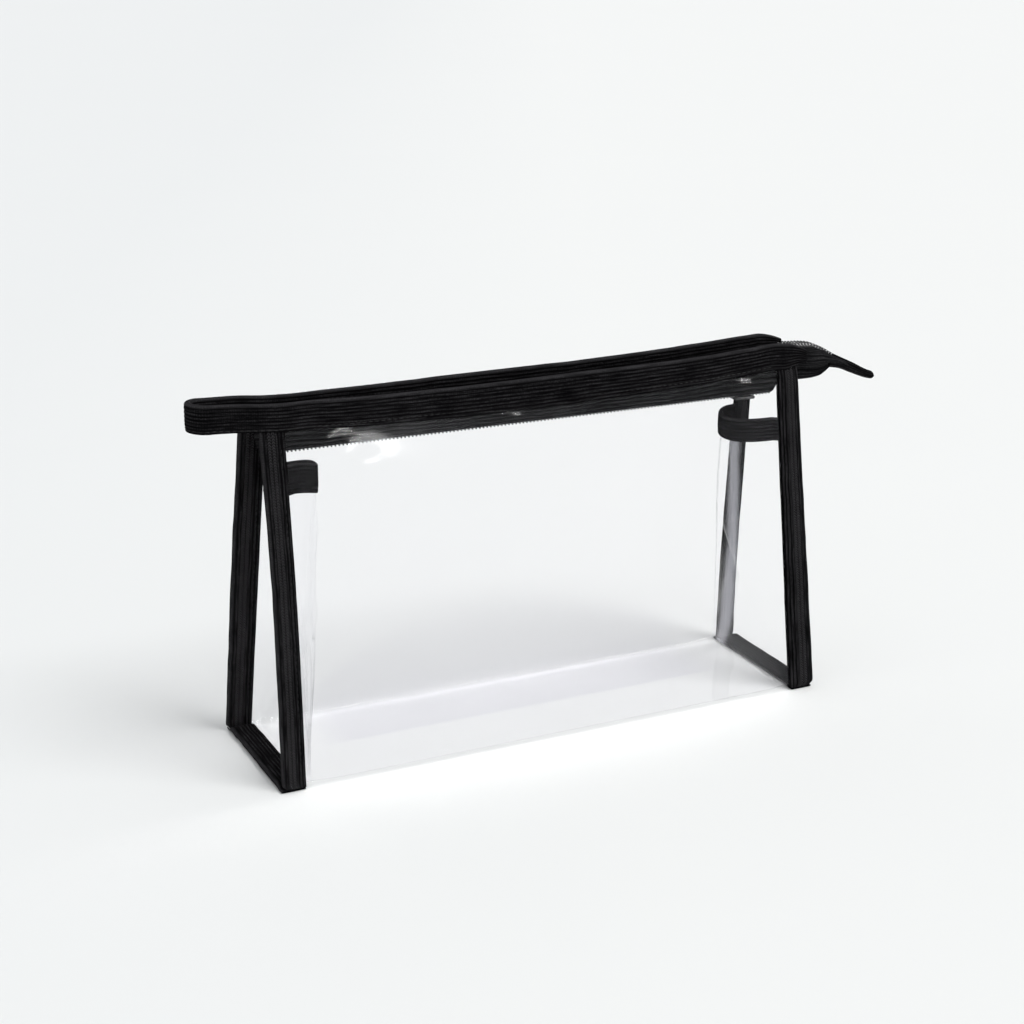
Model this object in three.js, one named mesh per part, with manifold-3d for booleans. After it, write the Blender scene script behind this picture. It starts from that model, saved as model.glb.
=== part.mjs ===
// Clear zip pouch with folded ribbed-tape trim.
// Millimetres, +Z up, +X along the mouth towards the tail of the zip, -Y to the front.
// The bag stands on its two base bindings at Z = 0, and the origin is under the middle of its outline.

import * as THREE from 'three';
import Module from 'manifold-3d';
import { mergeVertices } from 'three/addons/utils/BufferGeometryUtils.js';

// ---- driving dimensions ------------------------------------------------------------------

const BAG_LENGTH = 290; // over the two end bindings, at the base
const CORNER_LEAN = { // how far each corner leans in, from the base up to the mouth
  left: { front: 2.6, back: 2.6 },
  right: { front: 4.5, back: 10.4 },
};
const BASE_DEPTH = 72; // front to back at the base, between binding mid-planes
const MOUTH_DEPTH = 23; // front to back at the mouth, between binding mid-planes
const MOUTH_HEIGHT = 161.5; // lower edge of the mouth binding

const SHEET = 0.4; // clear sheet
const ZIP_TAPE = 0.5; // woven tape of the zip
const TAPE_PLY = 0.8; // one ply of the ribbed binding tape
const CLEARANCE = 0.3; // between pieces that lie on each other

const BINDING_WIDTH = 12; // half of a 25 mm tape, less the fold
const MOUTH_BINDING_WIDTH = 13;
const POST_FOOT = 3.6; // the end posts stand on the base bindings
const POST_TOP = 159.2; // and stop under the zip tape
const BASE_END_GAP = 0.5; // the base bindings stop inside the front and back panels

const LOOP_TIP = 171.5; // outside of the carrying loop, from the middle of the bag
const LOOP_START = 141; // where the mouth binding begins to narrow into the loop
const LOOP_HALF_WIDTH = 7.5;
const LOOP_ROUND = 7; // length of the loop's rounded end
const MOUTH_BINDING_END = 145; // right-hand ends of the mouth binding

const GUSSET_START = 2.5; // the gusset begins to bow this far inside its bindings
const GUSSET_NARROWING = 1.9; // room for the gusset's top binding beside the panels
const GUSSET_FACETS = 14;
const GUSSET_HEIGHTS = [4, 8, 14, 24, 38, 56, 76, 98]; // rows of its wall, closer together near the foot
const TURN_STEP = 0.01; // small turn that gives the wall's direction
const GUSSETS = {
  left: { side: -1, bow: 15.2, bowPower: 3, bindingTop: 144 },
  right: { side: 1, bow: 15.2, bowPower: 2, bindingTop: 139.5 },
};

const COIL_HEIGHT = 150.2; // middle of the closed zip chain
const COIL_GAP = 1.6; // slot between the coils that the slider's post runs in
const COIL_WIDTH = 2.4;
const COIL_THICKNESS = 2.2;
const CHAIN_LEFT = -138;
const CHAIN_RISE_START = 125; // the chain climbs to the top of the bag here
const CHAIN_CREST = 147;
const CHAIN_CREST_HEIGHT = 171;
const TAIL_END = 168;
const TAIL_HEIGHT = 165;
const ZIP_STATIONS = [CHAIN_LEFT, -60, 0, 60]; // then closer together where the chain climbs and falls
const TAIL_SEAM = { y: 6.4, top: 164, bottom: 158 }; // outer edge of a woven half at the end of the tail
const TAIL_TURN = { y: 6.1, innerY: 5.3, z: 157.2 }; // where it turns in under the coil
const COIL_APRON = { width: 1.6, rise: 0.1 }; // flat strip of woven tape beside each coil

const SLIDER_REST = 116; // slider at the closed end
const SLIDER_LENGTH = 12;
const SLIDER_WIDTH = 9.2;
const SLIDER_PLATE = 0.9;
const SLIDER_PLATE_GAP = 0.4; // running gap between a plate and the coils
const SLIDER_CORNER = 2;
const SLIDER_POST = { length: 3, width: 0.8, fromFront: 3 };
const BRIDGE = {
  length: 4.4, height: 2.7, width: 1.8, slope: 0.4, sunk: 0.1, windowLength: 2.4, windowHeight: 1.7, floor: 0.3,
};
const PULLER = {
  length: 25, width: 5.6, thickness: 1, corner: 1, eyeLength: 3.7, eyeWidth: 3, holeRadius: 1.3, holeFromEnd: 3,
};

const TACK = { length: 1.2, width: 7.2, thickness: 0.8 };
const TACK_LEFT = -132;
const TACK_RIGHT = 123.6;

const END_TAB = { start: 168.6, end: 197, startHeight: 161.2, endHeight: 151.8, startWidth: 8.4, endWidth: 3.6 };

// ---- derived dimensions ------------------------------------------------------------------

const SEAM_SLOT = 2 * SHEET + 3 * CLEARANCE; // holds the body sheet and a gusset
const MOUTH_SLOT = SHEET + ZIP_TAPE + 3 * CLEARANCE; // holds the body sheet and the zip tape
const SEAM_THICKNESS = SEAM_SLOT + 2 * TAPE_PLY;
const BASE_PLANE = SEAM_THICKNESS / 2; // mid-plane of the base bindings
const SHEET_OFFSET = (CLEARANCE + SHEET) / 2; // body sheet outside, gusset inside the mid-plane
const SHEET_EDGE = TAPE_PLY + CLEARANCE; // raw edge of a sheet, from a binding's fold
const MOUTH_TOP = MOUTH_HEIGHT + MOUTH_BINDING_WIDTH;
const PIVOT_HEIGHT = COIL_HEIGHT + COIL_THICKNESS / 2 + SLIDER_PLATE_GAP + SLIDER_PLATE
  + BRIDGE.floor + BRIDGE.windowHeight / 2;
const CENTRE_SHIFT = (LOOP_TIP - END_TAB.end) / 2; // brings the middle of the outline to X = 0

const wasm = await Module();
wasm.setup();

// ---- the bag's outline -------------------------------------------------------------------

// Half of the distance between the front and back binding mid-planes at a height.
function halfDepth(z) {
  const rise = (z - BASE_PLANE) / (MOUTH_HEIGHT - BASE_PLANE);
  return THREE.MathUtils.lerp(BASE_DEPTH, MOUTH_DEPTH, rise) / 2;
}

// Outer edge of an end binding at a height. back runs from 0 at the front corner to 1 at the back corner.
function endX(side, back, z) {
  const lean = side < 0 ? CORNER_LEAN.left : CORNER_LEAN.right;
  return BAG_LENGTH / 2 - THREE.MathUtils.lerp(lean.front, lean.back, back) * z / MOUTH_HEIGHT;
}

// Height of the zip chain along the bag.
function chainHeight(x) {
  const climb = THREE.MathUtils.smoothstep(x, CHAIN_RISE_START, CHAIN_CREST);
  const fall = THREE.MathUtils.clamp((x - CHAIN_CREST) / (TAIL_END - CHAIN_CREST), 0, 1);
  return COIL_HEIGHT + (CHAIN_CREST_HEIGHT - COIL_HEIGHT) * climb - (CHAIN_CREST_HEIGHT - TAIL_HEIGHT) * fall;
}

// A point of a gusset's mid-surface. turn runs from 0 at the front to PI at the back.
function gussetPoint(gusset, turn, z) {
  const rise = THREE.MathUtils.clamp(z / gusset.bindingTop, 0, 1);
  const foot = Math.max(0, z - BASE_PLANE - SHEET_OFFSET) / gusset.bindingTop;
  const bow = gusset.bow * (1 - (1 - foot) ** gusset.bowPower);
  const halfChord = halfDepth(z) - SHEET_OFFSET - GUSSET_NARROWING * rise;
  const back = (1 - Math.cos(turn)) / 2;
  const start = endX(gusset.side, back, z) - BINDING_WIDTH - 2 * CLEARANCE - GUSSET_START;
  return new THREE.Vector3(
    gusset.side * (start - bow * Math.sin(turn)), -halfChord * Math.cos(turn), z);
}

// ---- solids from sections and sheets -----------------------------------------------------

// A closed BufferGeometry from points and triangles, with its faces turned outwards.
function closedGeometry(points, triangles) {
  let volume = 0;
  for (const [a, b, c] of triangles) {
    volume += points[a].dot(new THREE.Vector3().crossVectors(points[b], points[c]));
  }
  const ordered = volume > 0 ? triangles : triangles.map(([a, b, c]) => [a, c, b]);
  const geometry = new THREE.BufferGeometry().setFromPoints(points);
  geometry.setIndex(ordered.flat());
  geometry.computeVertexNormals();
  return geometry;
}

// Joins a row of rings, each the same closed section placed in space, and caps both ends.
function loft(section, rings) {
  const count = section.length;
  const points = rings.flat();
  const triangles = [];
  for (let ring = 0; ring < rings.length - 1; ring += 1) {
    for (let k = 0; k < count; k += 1) {
      const a = ring * count + k;
      const b = ring * count + (k + 1) % count;
      triangles.push([a, b, b + count], [a, b + count, a + count]);
    }
  }
  const last = (rings.length - 1) * count;
  const winding = Math.sign(THREE.ShapeUtils.area(section));
  for (const [a, b, c] of THREE.ShapeUtils.triangulateShape(section, [])) {
    const sameWay = Math.sign(THREE.ShapeUtils.area([section[a], section[b], section[c]])) === winding;
    const [p, q] = sameWay ? [b, c] : [c, b];
    triangles.push([a, q, p], [last + a, last + p, last + q]);
  }
  return closedGeometry(points, triangles);
}

// Gives thickness to a grid of points. skip(column, row) leaves a cell out.
function thicken(grid, thickness, skip = () => false) {
  const columns = grid.length;
  const rows = grid[0].length;
  const cells = [];
  const normals = grid.map((column) => column.map(() => []));
  for (let i = 0; i < columns - 1; i += 1) {
    for (let j = 0; j < rows - 1; j += 1) {
      if (skip(i, j)) continue;
      cells.push([i, j]);
      const across = grid[i + 1][j + 1].clone().sub(grid[i][j]);
      const down = grid[i][j + 1].clone().sub(grid[i + 1][j]);
      const normal = across.cross(down).normalize();
      for (const [p, q] of [[i, j], [i + 1, j], [i, j + 1], [i + 1, j + 1]]) {
        normals[p][q].push(normal);
      }
    }
  }
  const points = [];
  const index = new Map();
  const vertex = (i, j) => {
    const key = i * rows + j;
    if (!index.has(key)) {
      const mean = normals[i][j].reduce((sum, n) => sum.add(n), new THREE.Vector3()).normalize();
      const mitre = normals[i][j].reduce((sum, n) => sum + n.dot(mean), 0) / normals[i][j].length;
      const offset = mean.multiplyScalar(thickness / 2 / mitre);
      index.set(key, points.length);
      points.push(grid[i][j].clone().add(offset), grid[i][j].clone().sub(offset));
    }
    return index.get(key);
  };
  const triangles = [];
  const edges = new Map();
  for (const [i, j] of cells) {
    const corners = [vertex(i, j), vertex(i + 1, j), vertex(i + 1, j + 1), vertex(i, j + 1)];
    const [a, b, c, d] = corners;
    triangles.push([a, b, c], [a, c, d], [a + 1, c + 1, b + 1], [a + 1, d + 1, c + 1]);
    corners.forEach((from, k) => {
      const to = corners[(k + 1) % 4];
      const reverse = `${to}:${from}`;
      if (edges.has(reverse)) edges.delete(reverse);
      else edges.set(`${from}:${to}`, [from, to]);
    });
  }
  for (const [from, to] of edges.values()) {
    triangles.push([to, from, from + 1], [to, from + 1, to + 1]);
  }
  return closedGeometry(points, triangles);
}

// Section of a tape folded in half: x runs from the fold to the open edges, y through the thickness.
function foldedTape(width, slot) {
  const half = slot / 2 + TAPE_PLY;
  const section = new THREE.Shape();
  section.moveTo(width, -half);
  section.lineTo(half, -half);
  section.absarc(half, 0, half, -Math.PI / 2, Math.PI / 2, true);
  section.lineTo(width, half);
  section.lineTo(width, slot / 2);
  section.lineTo(TAPE_PLY, slot / 2);
  section.lineTo(TAPE_PLY, -slot / 2);
  section.lineTo(width, -slot / 2);
  return distinctPoints(section.getPoints(3));
}

function distinctPoints(points) {
  const kept = points.filter((p, k) => k === 0 || p.distanceTo(points[k - 1]) > 1e-6);
  if (kept[0].distanceTo(kept[kept.length - 1]) < 1e-6) kept.pop();
  return kept;
}

function rectangle(width, height) {
  const [x, y] = [width / 2, height / 2];
  return [[-x, -y], [x, -y], [x, y], [-x, y]].map((p) => new THREE.Vector2(...p));
}

// Evenly spaced numbers from first to last, both included.
function steps(first, last, count) {
  return Array.from({ length: count + 1 }, (_, k) => THREE.MathUtils.lerp(first, last, k / count));
}

// ---- clear sheet -------------------------------------------------------------------------

function bodySheet() {
  const mouthY = MOUTH_DEPTH / 2 + (MOUTH_SLOT - SHEET) / 2 - CLEARANCE;
  const foldZ = BASE_PLANE - SHEET_OFFSET;
  const foldY = halfDepth(BASE_PLANE) + SHEET_OFFSET;
  const topEdge = MOUTH_TOP - TAPE_PLY - CLEARANCE;
  const front = [[-mouthY, topEdge], [-mouthY, MOUTH_HEIGHT], [-foldY, foldZ]];
  const back = front.map(([y, z]) => [-y, z]).reverse();
  const profile = [...front, ...back];
  const grid = [-1, 1].map((side) => profile.map(([y, z]) => (
    new THREE.Vector3(side * (endX(side, y < 0 ? 0 : 1, Math.min(z, MOUTH_HEIGHT)) - SHEET_EDGE), y, z))));
  return thicken(grid, SHEET);
}

// A gusset: a bowed wall, with flanges that go into the front, back and base bindings.
function gussetSheet(gusset) {
  const footZ = BASE_PLANE + SHEET_OFFSET;
  const topEdge = gusset.bindingTop - TAPE_PLY - CLEARANCE;
  const heights = [footZ, ...GUSSET_HEIGHTS, gusset.bindingTop - BINDING_WIDTH, topEdge];
  const turns = steps(0, Math.PI, GUSSET_FACETS);
  const flange = (facing, z, fromFold) => new THREE.Vector3(
    gusset.side * (endX(gusset.side, facing < 0 ? 0 : 1, z) - fromFold), facing * (halfDepth(z) - SHEET_OFFSET), z);
  const nearEdge = BINDING_WIDTH + 2 * CLEARANCE;
  const row = (z) => [
    flange(-1, z, SHEET_EDGE), flange(-1, z, nearEdge),
    ...turns.map((turn) => gussetPoint(gusset, turn, z)),
    flange(1, z, nearEdge), flange(1, z, SHEET_EDGE),
  ];
  const wall = heights.map(row);
  const baseFlange = wall[0].map((point) => (
    new THREE.Vector3(gusset.side * (BAG_LENGTH / 2 - SHEET_EDGE), point.y, footZ)));
  const rows = [baseFlange, ...wall];
  const columns = rows[0].map((_, column) => rows.map((points) => points[column]));
  const last = columns.length - 2;
  return thicken(columns, SHEET, (column, rowIndex) => {
    const sideFlange = column === 0 || column === last;
    const besideFlange = column === 1 || column === last - 1;
    return (sideFlange && rowIndex < 2) || (besideFlange && rowIndex < 1);
  });
}

// ---- bindings ----------------------------------------------------------------------------

// An upright at one corner of the bag. facing is -1 at the front and 1 at the back.
function postBinding(side, facing) {
  const section = foldedTape(BINDING_WIDTH, SEAM_SLOT);
  const rings = [POST_FOOT, POST_TOP].map((z) => section.map((p) => (
    new THREE.Vector3(side * (endX(side, facing < 0 ? 0 : 1, z) - p.x), facing * (halfDepth(z) + p.y), z))));
  return loft(section, rings);
}

function baseBinding(side) {
  const section = foldedTape(BINDING_WIDTH, SEAM_SLOT);
  const reach = BASE_DEPTH / 2 - BASE_END_GAP;
  const rings = [-reach, reach].map((y) => section.map((p) => (
    new THREE.Vector3(side * (BAG_LENGTH / 2 - p.x), y, BASE_PLANE + p.y))));
  return loft(section, rings);
}

function gussetTopBinding(gusset) {
  const section = foldedTape(BINDING_WIDTH, 2 * CLEARANCE + SHEET);
  const rings = steps(0, Math.PI, GUSSET_FACETS).map((turn) => {
    const along = gussetPoint(gusset, turn + TURN_STEP, gusset.bindingTop)
      .sub(gussetPoint(gusset, turn - TURN_STEP, gusset.bindingTop)).normalize();
    const outwards = new THREE.Vector3(-along.y, along.x, 0);
    return section.map((p) => (
      gussetPoint(gusset, turn, gusset.bindingTop - p.x).addScaledVector(outwards, p.y)));
  });
  return loft(section, rings);
}

// The mouth binding seen from above, from its front right end, round the loop, to its back right end.
function mouthPath() {
  const centreTip = LOOP_TIP - MOUTH_SLOT / 2 - TAPE_PLY;
  const roundStart = centreTip - LOOP_ROUND;
  const narrowing = steps(LOOP_START, roundStart, 5).map((x) => {
    const along = THREE.MathUtils.smoothstep(x, LOOP_START, roundStart);
    return [-x, THREE.MathUtils.lerp(MOUTH_DEPTH / 2, LOOP_HALF_WIDTH, along)];
  });
  const frontRun = [[MOUTH_BINDING_END, MOUTH_DEPTH / 2], [0, MOUTH_DEPTH / 2], ...narrowing];
  const round = steps(0, Math.PI, 10).slice(1, -1).map((turn) => (
    [-roundStart - LOOP_ROUND * Math.sin(turn), -LOOP_HALF_WIDTH * Math.cos(turn)]));
  return [
    ...frontRun.map(([x, y]) => new THREE.Vector2(x, -y)),
    ...round.map(([x, y]) => new THREE.Vector2(x, y)),
    ...frontRun.map(([x, y]) => new THREE.Vector2(x, y)).reverse(),
  ];
}

function topBinding() {
  const section = foldedTape(MOUTH_BINDING_WIDTH, MOUTH_SLOT);
  const path = mouthPath();
  const rings = path.map((point, k) => {
    const before = path[Math.max(k - 1, 0)];
    const after = path[Math.min(k + 1, path.length - 1)];
    const along = after.clone().sub(before).normalize();
    return section.map((p) => new THREE.Vector3(
      point.x - along.y * p.y, point.y + along.x * p.y, MOUTH_TOP - p.x));
  });
  return loft(section, rings);
}

// ---- zip ---------------------------------------------------------------------------------

// Places along the zip where its section is set.
function zipStations() {
  return [...ZIP_STATIONS, ...steps(CHAIN_RISE_START, CHAIN_CREST, 8), ...steps(CHAIN_CREST, TAIL_END, 4).slice(1)];
}

// One woven half: sewn into the mouth binding, under its lower edge, and down to the coil.
function zipperTape(facing) {
  const seamY = MOUTH_DEPTH / 2 - (MOUTH_SLOT - ZIP_TAPE) / 2 + CLEARANCE;
  const innerFace = MOUTH_DEPTH / 2 - MOUTH_SLOT / 2 - TAPE_PLY;
  const coilEdge = COIL_GAP / 2 + COIL_WIDTH + CLEARANCE;
  const under = MOUTH_HEIGHT - ZIP_TAPE / 2 - 2 * CLEARANCE;
  const columns = zipStations().map((x) => {
    const z = chainHeight(x);
    const tail = THREE.MathUtils.smoothstep(x, MOUTH_BINDING_END, TAIL_END);
    const inTail = (value, end) => THREE.MathUtils.lerp(value, end, tail);
    return [
      [inTail(seamY, TAIL_SEAM.y), inTail(MOUTH_TOP - TAPE_PLY - 2 * CLEARANCE, TAIL_SEAM.top)],
      [inTail(seamY, TAIL_SEAM.y), inTail(MOUTH_HEIGHT, TAIL_SEAM.bottom)],
      [inTail(seamY - CLEARANCE, TAIL_TURN.y), inTail(under, TAIL_TURN.z)],
      [inTail(innerFace - CLEARANCE, TAIL_TURN.innerY), inTail(under, TAIL_TURN.z)],
      [coilEdge + COIL_APRON.width, z + COIL_APRON.rise],
      [coilEdge, z],
    ].map(([y, height]) => new THREE.Vector3(x, facing * y, height));
  });
  return thicken(columns, ZIP_TAPE);
}

function zipperCoil(facing) {
  const section = rectangle(COIL_WIDTH, COIL_THICKNESS);
  const middle = facing * (COIL_GAP + COIL_WIDTH) / 2;
  const rings = zipStations().map((x) => section.map((p) => (
    new THREE.Vector3(x, middle + p.x, chainHeight(x) + p.y))));
  return loft(section, rings);
}

// A thread bar sewn over both coils.
function barTack(x) {
  const section = rectangle(TACK.length, TACK.thickness);
  const height = chainHeight(x) + COIL_THICKNESS / 2 + CLEARANCE + TACK.thickness / 2;
  const rings = [-TACK.width / 2, TACK.width / 2].map((y) => section.map((p) => (
    new THREE.Vector3(x + p.x, y, height + p.y))));
  return loft(section, rings);
}

// The folded tab that closes the tail of the zip.
function zipperEndTab() {
  const section = foldedTape(END_TAB.startWidth, 2 * CLEARANCE);
  const rings = steps(0, 1, 6).map((along) => {
    const x = THREE.MathUtils.lerp(END_TAB.start, END_TAB.end, along);
    const middle = THREE.MathUtils.lerp(END_TAB.startHeight, END_TAB.endHeight, along);
    const width = THREE.MathUtils.lerp(END_TAB.startWidth, END_TAB.endWidth, along);
    return foldedTape(width, 2 * CLEARANCE).map((p) => (
      new THREE.Vector3(x, p.y, middle - width / 2 + p.x)));
  });
  return loft(section, rings);
}

// ---- slider ------------------------------------------------------------------------------

function toManifold(geometry) {
  const bare = geometry.clone();
  bare.deleteAttribute('normal');
  bare.deleteAttribute('uv');
  const merged = mergeVertices(bare);
  return new wasm.Manifold(new wasm.Mesh({
    numProp: 3,
    vertProperties: new Float32Array(merged.attributes.position.array),
    triVerts: new Uint32Array(merged.index.array),
  }));
}

function joinSolids(geometries) {
  const mesh = geometries.map(toManifold).reduce((whole, part) => whole.add(part)).getMesh();
  const geometry = new THREE.BufferGeometry();
  geometry.setAttribute('position', new THREE.BufferAttribute(mesh.vertProperties, 3));
  geometry.setIndex(new THREE.BufferAttribute(mesh.triVerts, 1));
  geometry.computeVertexNormals();
  return geometry;
}

function roundedOutline(length, width, radius) {
  const outline = new THREE.Shape();
  const [x, y] = [length / 2, width / 2];
  outline.moveTo(-x + radius, -y);
  outline.lineTo(x - radius, -y);
  outline.absarc(x - radius, -y + radius, radius, -Math.PI / 2, 0);
  outline.absarc(x - radius, y - radius, radius, 0, Math.PI / 2);
  outline.lineTo(-x + radius, y);
  outline.absarc(-x + radius, y - radius, radius, Math.PI / 2, Math.PI);
  outline.absarc(-x + radius, -y + radius, radius, Math.PI, 1.5 * Math.PI);
  return outline;
}

// Two plates joined by a post, with the bridge that the puller hangs from. Origin: middle of the chain.
function sliderBody() {
  const plateInside = COIL_THICKNESS / 2 + SLIDER_PLATE_GAP;
  const plate = () => new THREE.ExtrudeGeometry(
    roundedOutline(SLIDER_LENGTH, SLIDER_WIDTH, SLIDER_CORNER), { depth: SLIDER_PLATE, bevelEnabled: false, curveSegments: 4 });
  const upper = plate().translate(0, 0, plateInside);
  const lower = plate().translate(0, 0, -plateInside - SLIDER_PLATE);
  const post = new THREE.BoxGeometry(SLIDER_POST.length, SLIDER_POST.width, 2 * plateInside + SLIDER_PLATE);
  post.translate(SLIDER_LENGTH / 2 - SLIDER_POST.fromFront, 0, 0);
  const arch = new THREE.Shape();
  arch.moveTo(-BRIDGE.length / 2, 0);
  arch.lineTo(BRIDGE.length / 2, 0);
  arch.lineTo(BRIDGE.length / 2 - BRIDGE.slope, BRIDGE.height);
  arch.lineTo(-BRIDGE.length / 2 + BRIDGE.slope, BRIDGE.height);
  const window = new THREE.Path();
  const [half, low] = [BRIDGE.windowLength / 2, BRIDGE.floor + BRIDGE.sunk];
  window.moveTo(-half, low);
  window.lineTo(-half, low + BRIDGE.windowHeight);
  window.lineTo(half, low + BRIDGE.windowHeight);
  window.lineTo(half, low);
  arch.holes.push(window);
  const bridge = new THREE.ExtrudeGeometry(arch, { depth: BRIDGE.width, bevelEnabled: false });
  bridge.rotateX(Math.PI / 2).translate(0, BRIDGE.width / 2, plateInside + SLIDER_PLATE - BRIDGE.sunk);
  return joinSolids([upper, lower, post, bridge]);
}

// The puller, lying flat. Origin: the bar that turns in the bridge.
function pullTab() {
  const half = PULLER.thickness / 2;
  const outline = roundedOutline(PULLER.length, PULLER.width, PULLER.corner);
  const eye = new THREE.Path();
  const eyeEnd = PULLER.length / 2 - PULLER.thickness;
  eye.moveTo(eyeEnd, -PULLER.eyeWidth / 2);
  eye.lineTo(eyeEnd, PULLER.eyeWidth / 2);
  eye.lineTo(eyeEnd - PULLER.eyeLength, PULLER.eyeWidth / 2);
  eye.lineTo(eyeEnd - PULLER.eyeLength, -PULLER.eyeWidth / 2);
  const hole = new THREE.Path();
  hole.absarc(-PULLER.length / 2 + PULLER.holeFromEnd, 0, PULLER.holeRadius, 0, 2 * Math.PI, true);
  outline.holes.push(eye, hole);
  const plate = new THREE.ExtrudeGeometry(
    outline, { depth: PULLER.thickness, bevelEnabled: false, curveSegments: 6 });
  return plate.translate(-PULLER.length / 2 + half, 0, -half);
}

// ---- assembly ----------------------------------------------------------------------------

const FINISHES = {
  clear: new THREE.MeshStandardMaterial({ color: 0xeef0f6, roughness: 0.08, transparent: true, opacity: 0.25 }),
  tape: new THREE.MeshStandardMaterial({ color: 0x17171a, roughness: 0.85 }),
  zipTape: new THREE.MeshStandardMaterial({ color: 0x1c1c20, roughness: 0.9 }),
  coil: new THREE.MeshStandardMaterial({ color: 0x141416, roughness: 0.45 }),
  metal: new THREE.MeshStandardMaterial({ color: 0x1a1a1c, roughness: 0.35, metalness: 0.6 }),
  thread: new THREE.MeshStandardMaterial({ color: 0x101012, roughness: 0.8 }),
};

const bag = new THREE.Group();
bag.position.x = CENTRE_SHIFT;

function piece(name, geometry, finish) {
  const mesh = new THREE.Mesh(geometry, FINISHES[finish]);
  mesh.name = name;
  bag.add(mesh);
  return mesh;
}

piece('body_sheet', bodySheet(), 'clear');
for (const [name, gusset] of Object.entries(GUSSETS)) {
  piece(`${name}_gusset`, gussetSheet(gusset), 'clear');
  piece(`${name}_front_binding`, postBinding(gusset.side, -1), 'tape');
  piece(`${name}_back_binding`, postBinding(gusset.side, 1), 'tape');
  piece(`${name}_base_binding`, baseBinding(gusset.side), 'tape');
  piece(`${name}_gusset_top_binding`, gussetTopBinding(gusset), 'tape');
}
piece('top_binding', topBinding(), 'tape');
piece('zipper_tape_front', zipperTape(-1), 'zipTape');
piece('zipper_tape_back', zipperTape(1), 'zipTape');
piece('zipper_coil_front', zipperCoil(-1), 'coil');
piece('zipper_coil_back', zipperCoil(1), 'coil');
piece('left_bar_tack', barTack(TACK_LEFT), 'thread');
piece('right_bar_tack', barTack(TACK_RIGHT), 'thread');
piece('zipper_end_tab', zipperEndTab(), 'tape');
piece('slider_body', sliderBody(), 'metal').position.set(SLIDER_REST, 0, COIL_HEIGHT);
piece('pull_tab', pullTab(), 'metal').position.set(SLIDER_REST, 0, PIVOT_HEIGHT);

export default bag;
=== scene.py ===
# Looks of a clear zip pouch with folded ribbed-tape trim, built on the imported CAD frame.
# Metres, +X along the mouth towards the tail of the zip, -Y to the front, +Z up.

import math

import bpy
import numpy as np
from mathutils import Matrix, Vector

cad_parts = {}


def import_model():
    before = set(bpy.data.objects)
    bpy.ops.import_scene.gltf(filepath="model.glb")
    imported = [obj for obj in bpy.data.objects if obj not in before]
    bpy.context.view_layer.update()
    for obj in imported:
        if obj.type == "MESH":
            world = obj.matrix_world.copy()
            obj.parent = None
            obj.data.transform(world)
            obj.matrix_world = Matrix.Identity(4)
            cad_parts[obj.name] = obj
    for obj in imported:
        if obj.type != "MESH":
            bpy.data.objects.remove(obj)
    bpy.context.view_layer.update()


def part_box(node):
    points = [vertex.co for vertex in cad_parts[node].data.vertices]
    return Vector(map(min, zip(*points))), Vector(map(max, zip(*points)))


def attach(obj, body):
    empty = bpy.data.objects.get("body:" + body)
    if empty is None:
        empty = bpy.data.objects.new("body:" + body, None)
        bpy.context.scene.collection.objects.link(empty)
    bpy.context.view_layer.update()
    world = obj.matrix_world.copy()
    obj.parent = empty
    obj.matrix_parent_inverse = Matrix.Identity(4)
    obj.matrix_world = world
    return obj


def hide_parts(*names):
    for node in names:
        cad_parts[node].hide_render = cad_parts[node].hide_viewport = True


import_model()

MM = 0.001

# ---- sizes from the frame ------------------------------------------------------------------

SHEET_LOW, SHEET_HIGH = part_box("body_sheet")
BASE_LOW, BASE_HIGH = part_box("left_base_binding")
MOUTH_LOW, MOUTH_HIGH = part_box("top_binding")
TAB_LOW, TAB_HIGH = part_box("zipper_end_tab")
COIL_LOW, COIL_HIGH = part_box("zipper_coil_front")

BAG_X = (SHEET_LOW.x + SHEET_HIGH.x) / 2  # pieces are made about the middle of the bag
HALF_LENGTH = BAG_X - BASE_LOW.x
MOUTH_HEIGHT = MOUTH_LOW.z
MOUTH_TOP = MOUTH_HIGH.z
LOOP_TIP = BAG_X - MOUTH_LOW.x
BASE_PLANE = BASE_HIGH.z / 2
POST_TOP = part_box("left_front_binding")[1].z
COIL_HEIGHT = COIL_LOW.z + 1.1 * MM
CHAIN_LEFT = COIL_LOW.x - BAG_X
TAIL_END = COIL_HIGH.x - BAG_X
SLIDER_X = sum(corner.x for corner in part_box("slider_body")) / 2 - BAG_X

# ---- sizes of the looks --------------------------------------------------------------------

BASE_HALF_DEPTH = 36 * MM
MOUTH_HALF_DEPTH = 11.5 * MM
SHEET = 0.4 * MM
SHEET_OFFSET = 0.35 * MM
TAPE_PLY = 0.8 * MM
SEAM_SLOT = 1.7 * MM
MOUTH_SLOT = 1.8 * MM
BINDING_WIDTH = 12 * MM
MOUTH_WIDTH = 14 * MM
FOLD_RADIUS = 3.4 * MM

RIBS = 7
RIB_DEPTH = 0.25 * MM
STITCH_INSET = 2.3 * MM
STITCH_PITCH = 3.0 * MM
STITCH_LENGTH = 2.3 * MM
THREAD_RADIUS = 0.16 * MM
RING_SPACING = 1.5 * MM
POST_TUCK = 1.5 * MM  # length of an upright that goes up into the mouth binding
BASE_LIP = 1.1 * MM  # thickness of the base binding where an upright stands on it
FOOT_ROUND = 2.5 * MM

# The last entry of each gusset sets the strength of the painted highlight stored along its fold.
GUSSETS = {
    "left": {"side": -1, "bow": 15 * MM, "power": 3.0, "top": 143.5 * MM, "lift": (4.5 * MM, -3 * MM),
             "strap": 13.8 * MM, "painted_highlight": 0.03},
    "right": {"side": 1, "bow": 13.6 * MM, "power": 2.0, "top": 139.5 * MM, "lift": (1.4 * MM, 2 * MM),
              "strap": 11.8 * MM, "painted_highlight": 0.26},
}
GUSSET_START = 3.1 * MM  # it leaves the panels this far inside its uprights
GUSSET_NARROWING = 1.9 * MM

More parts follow.
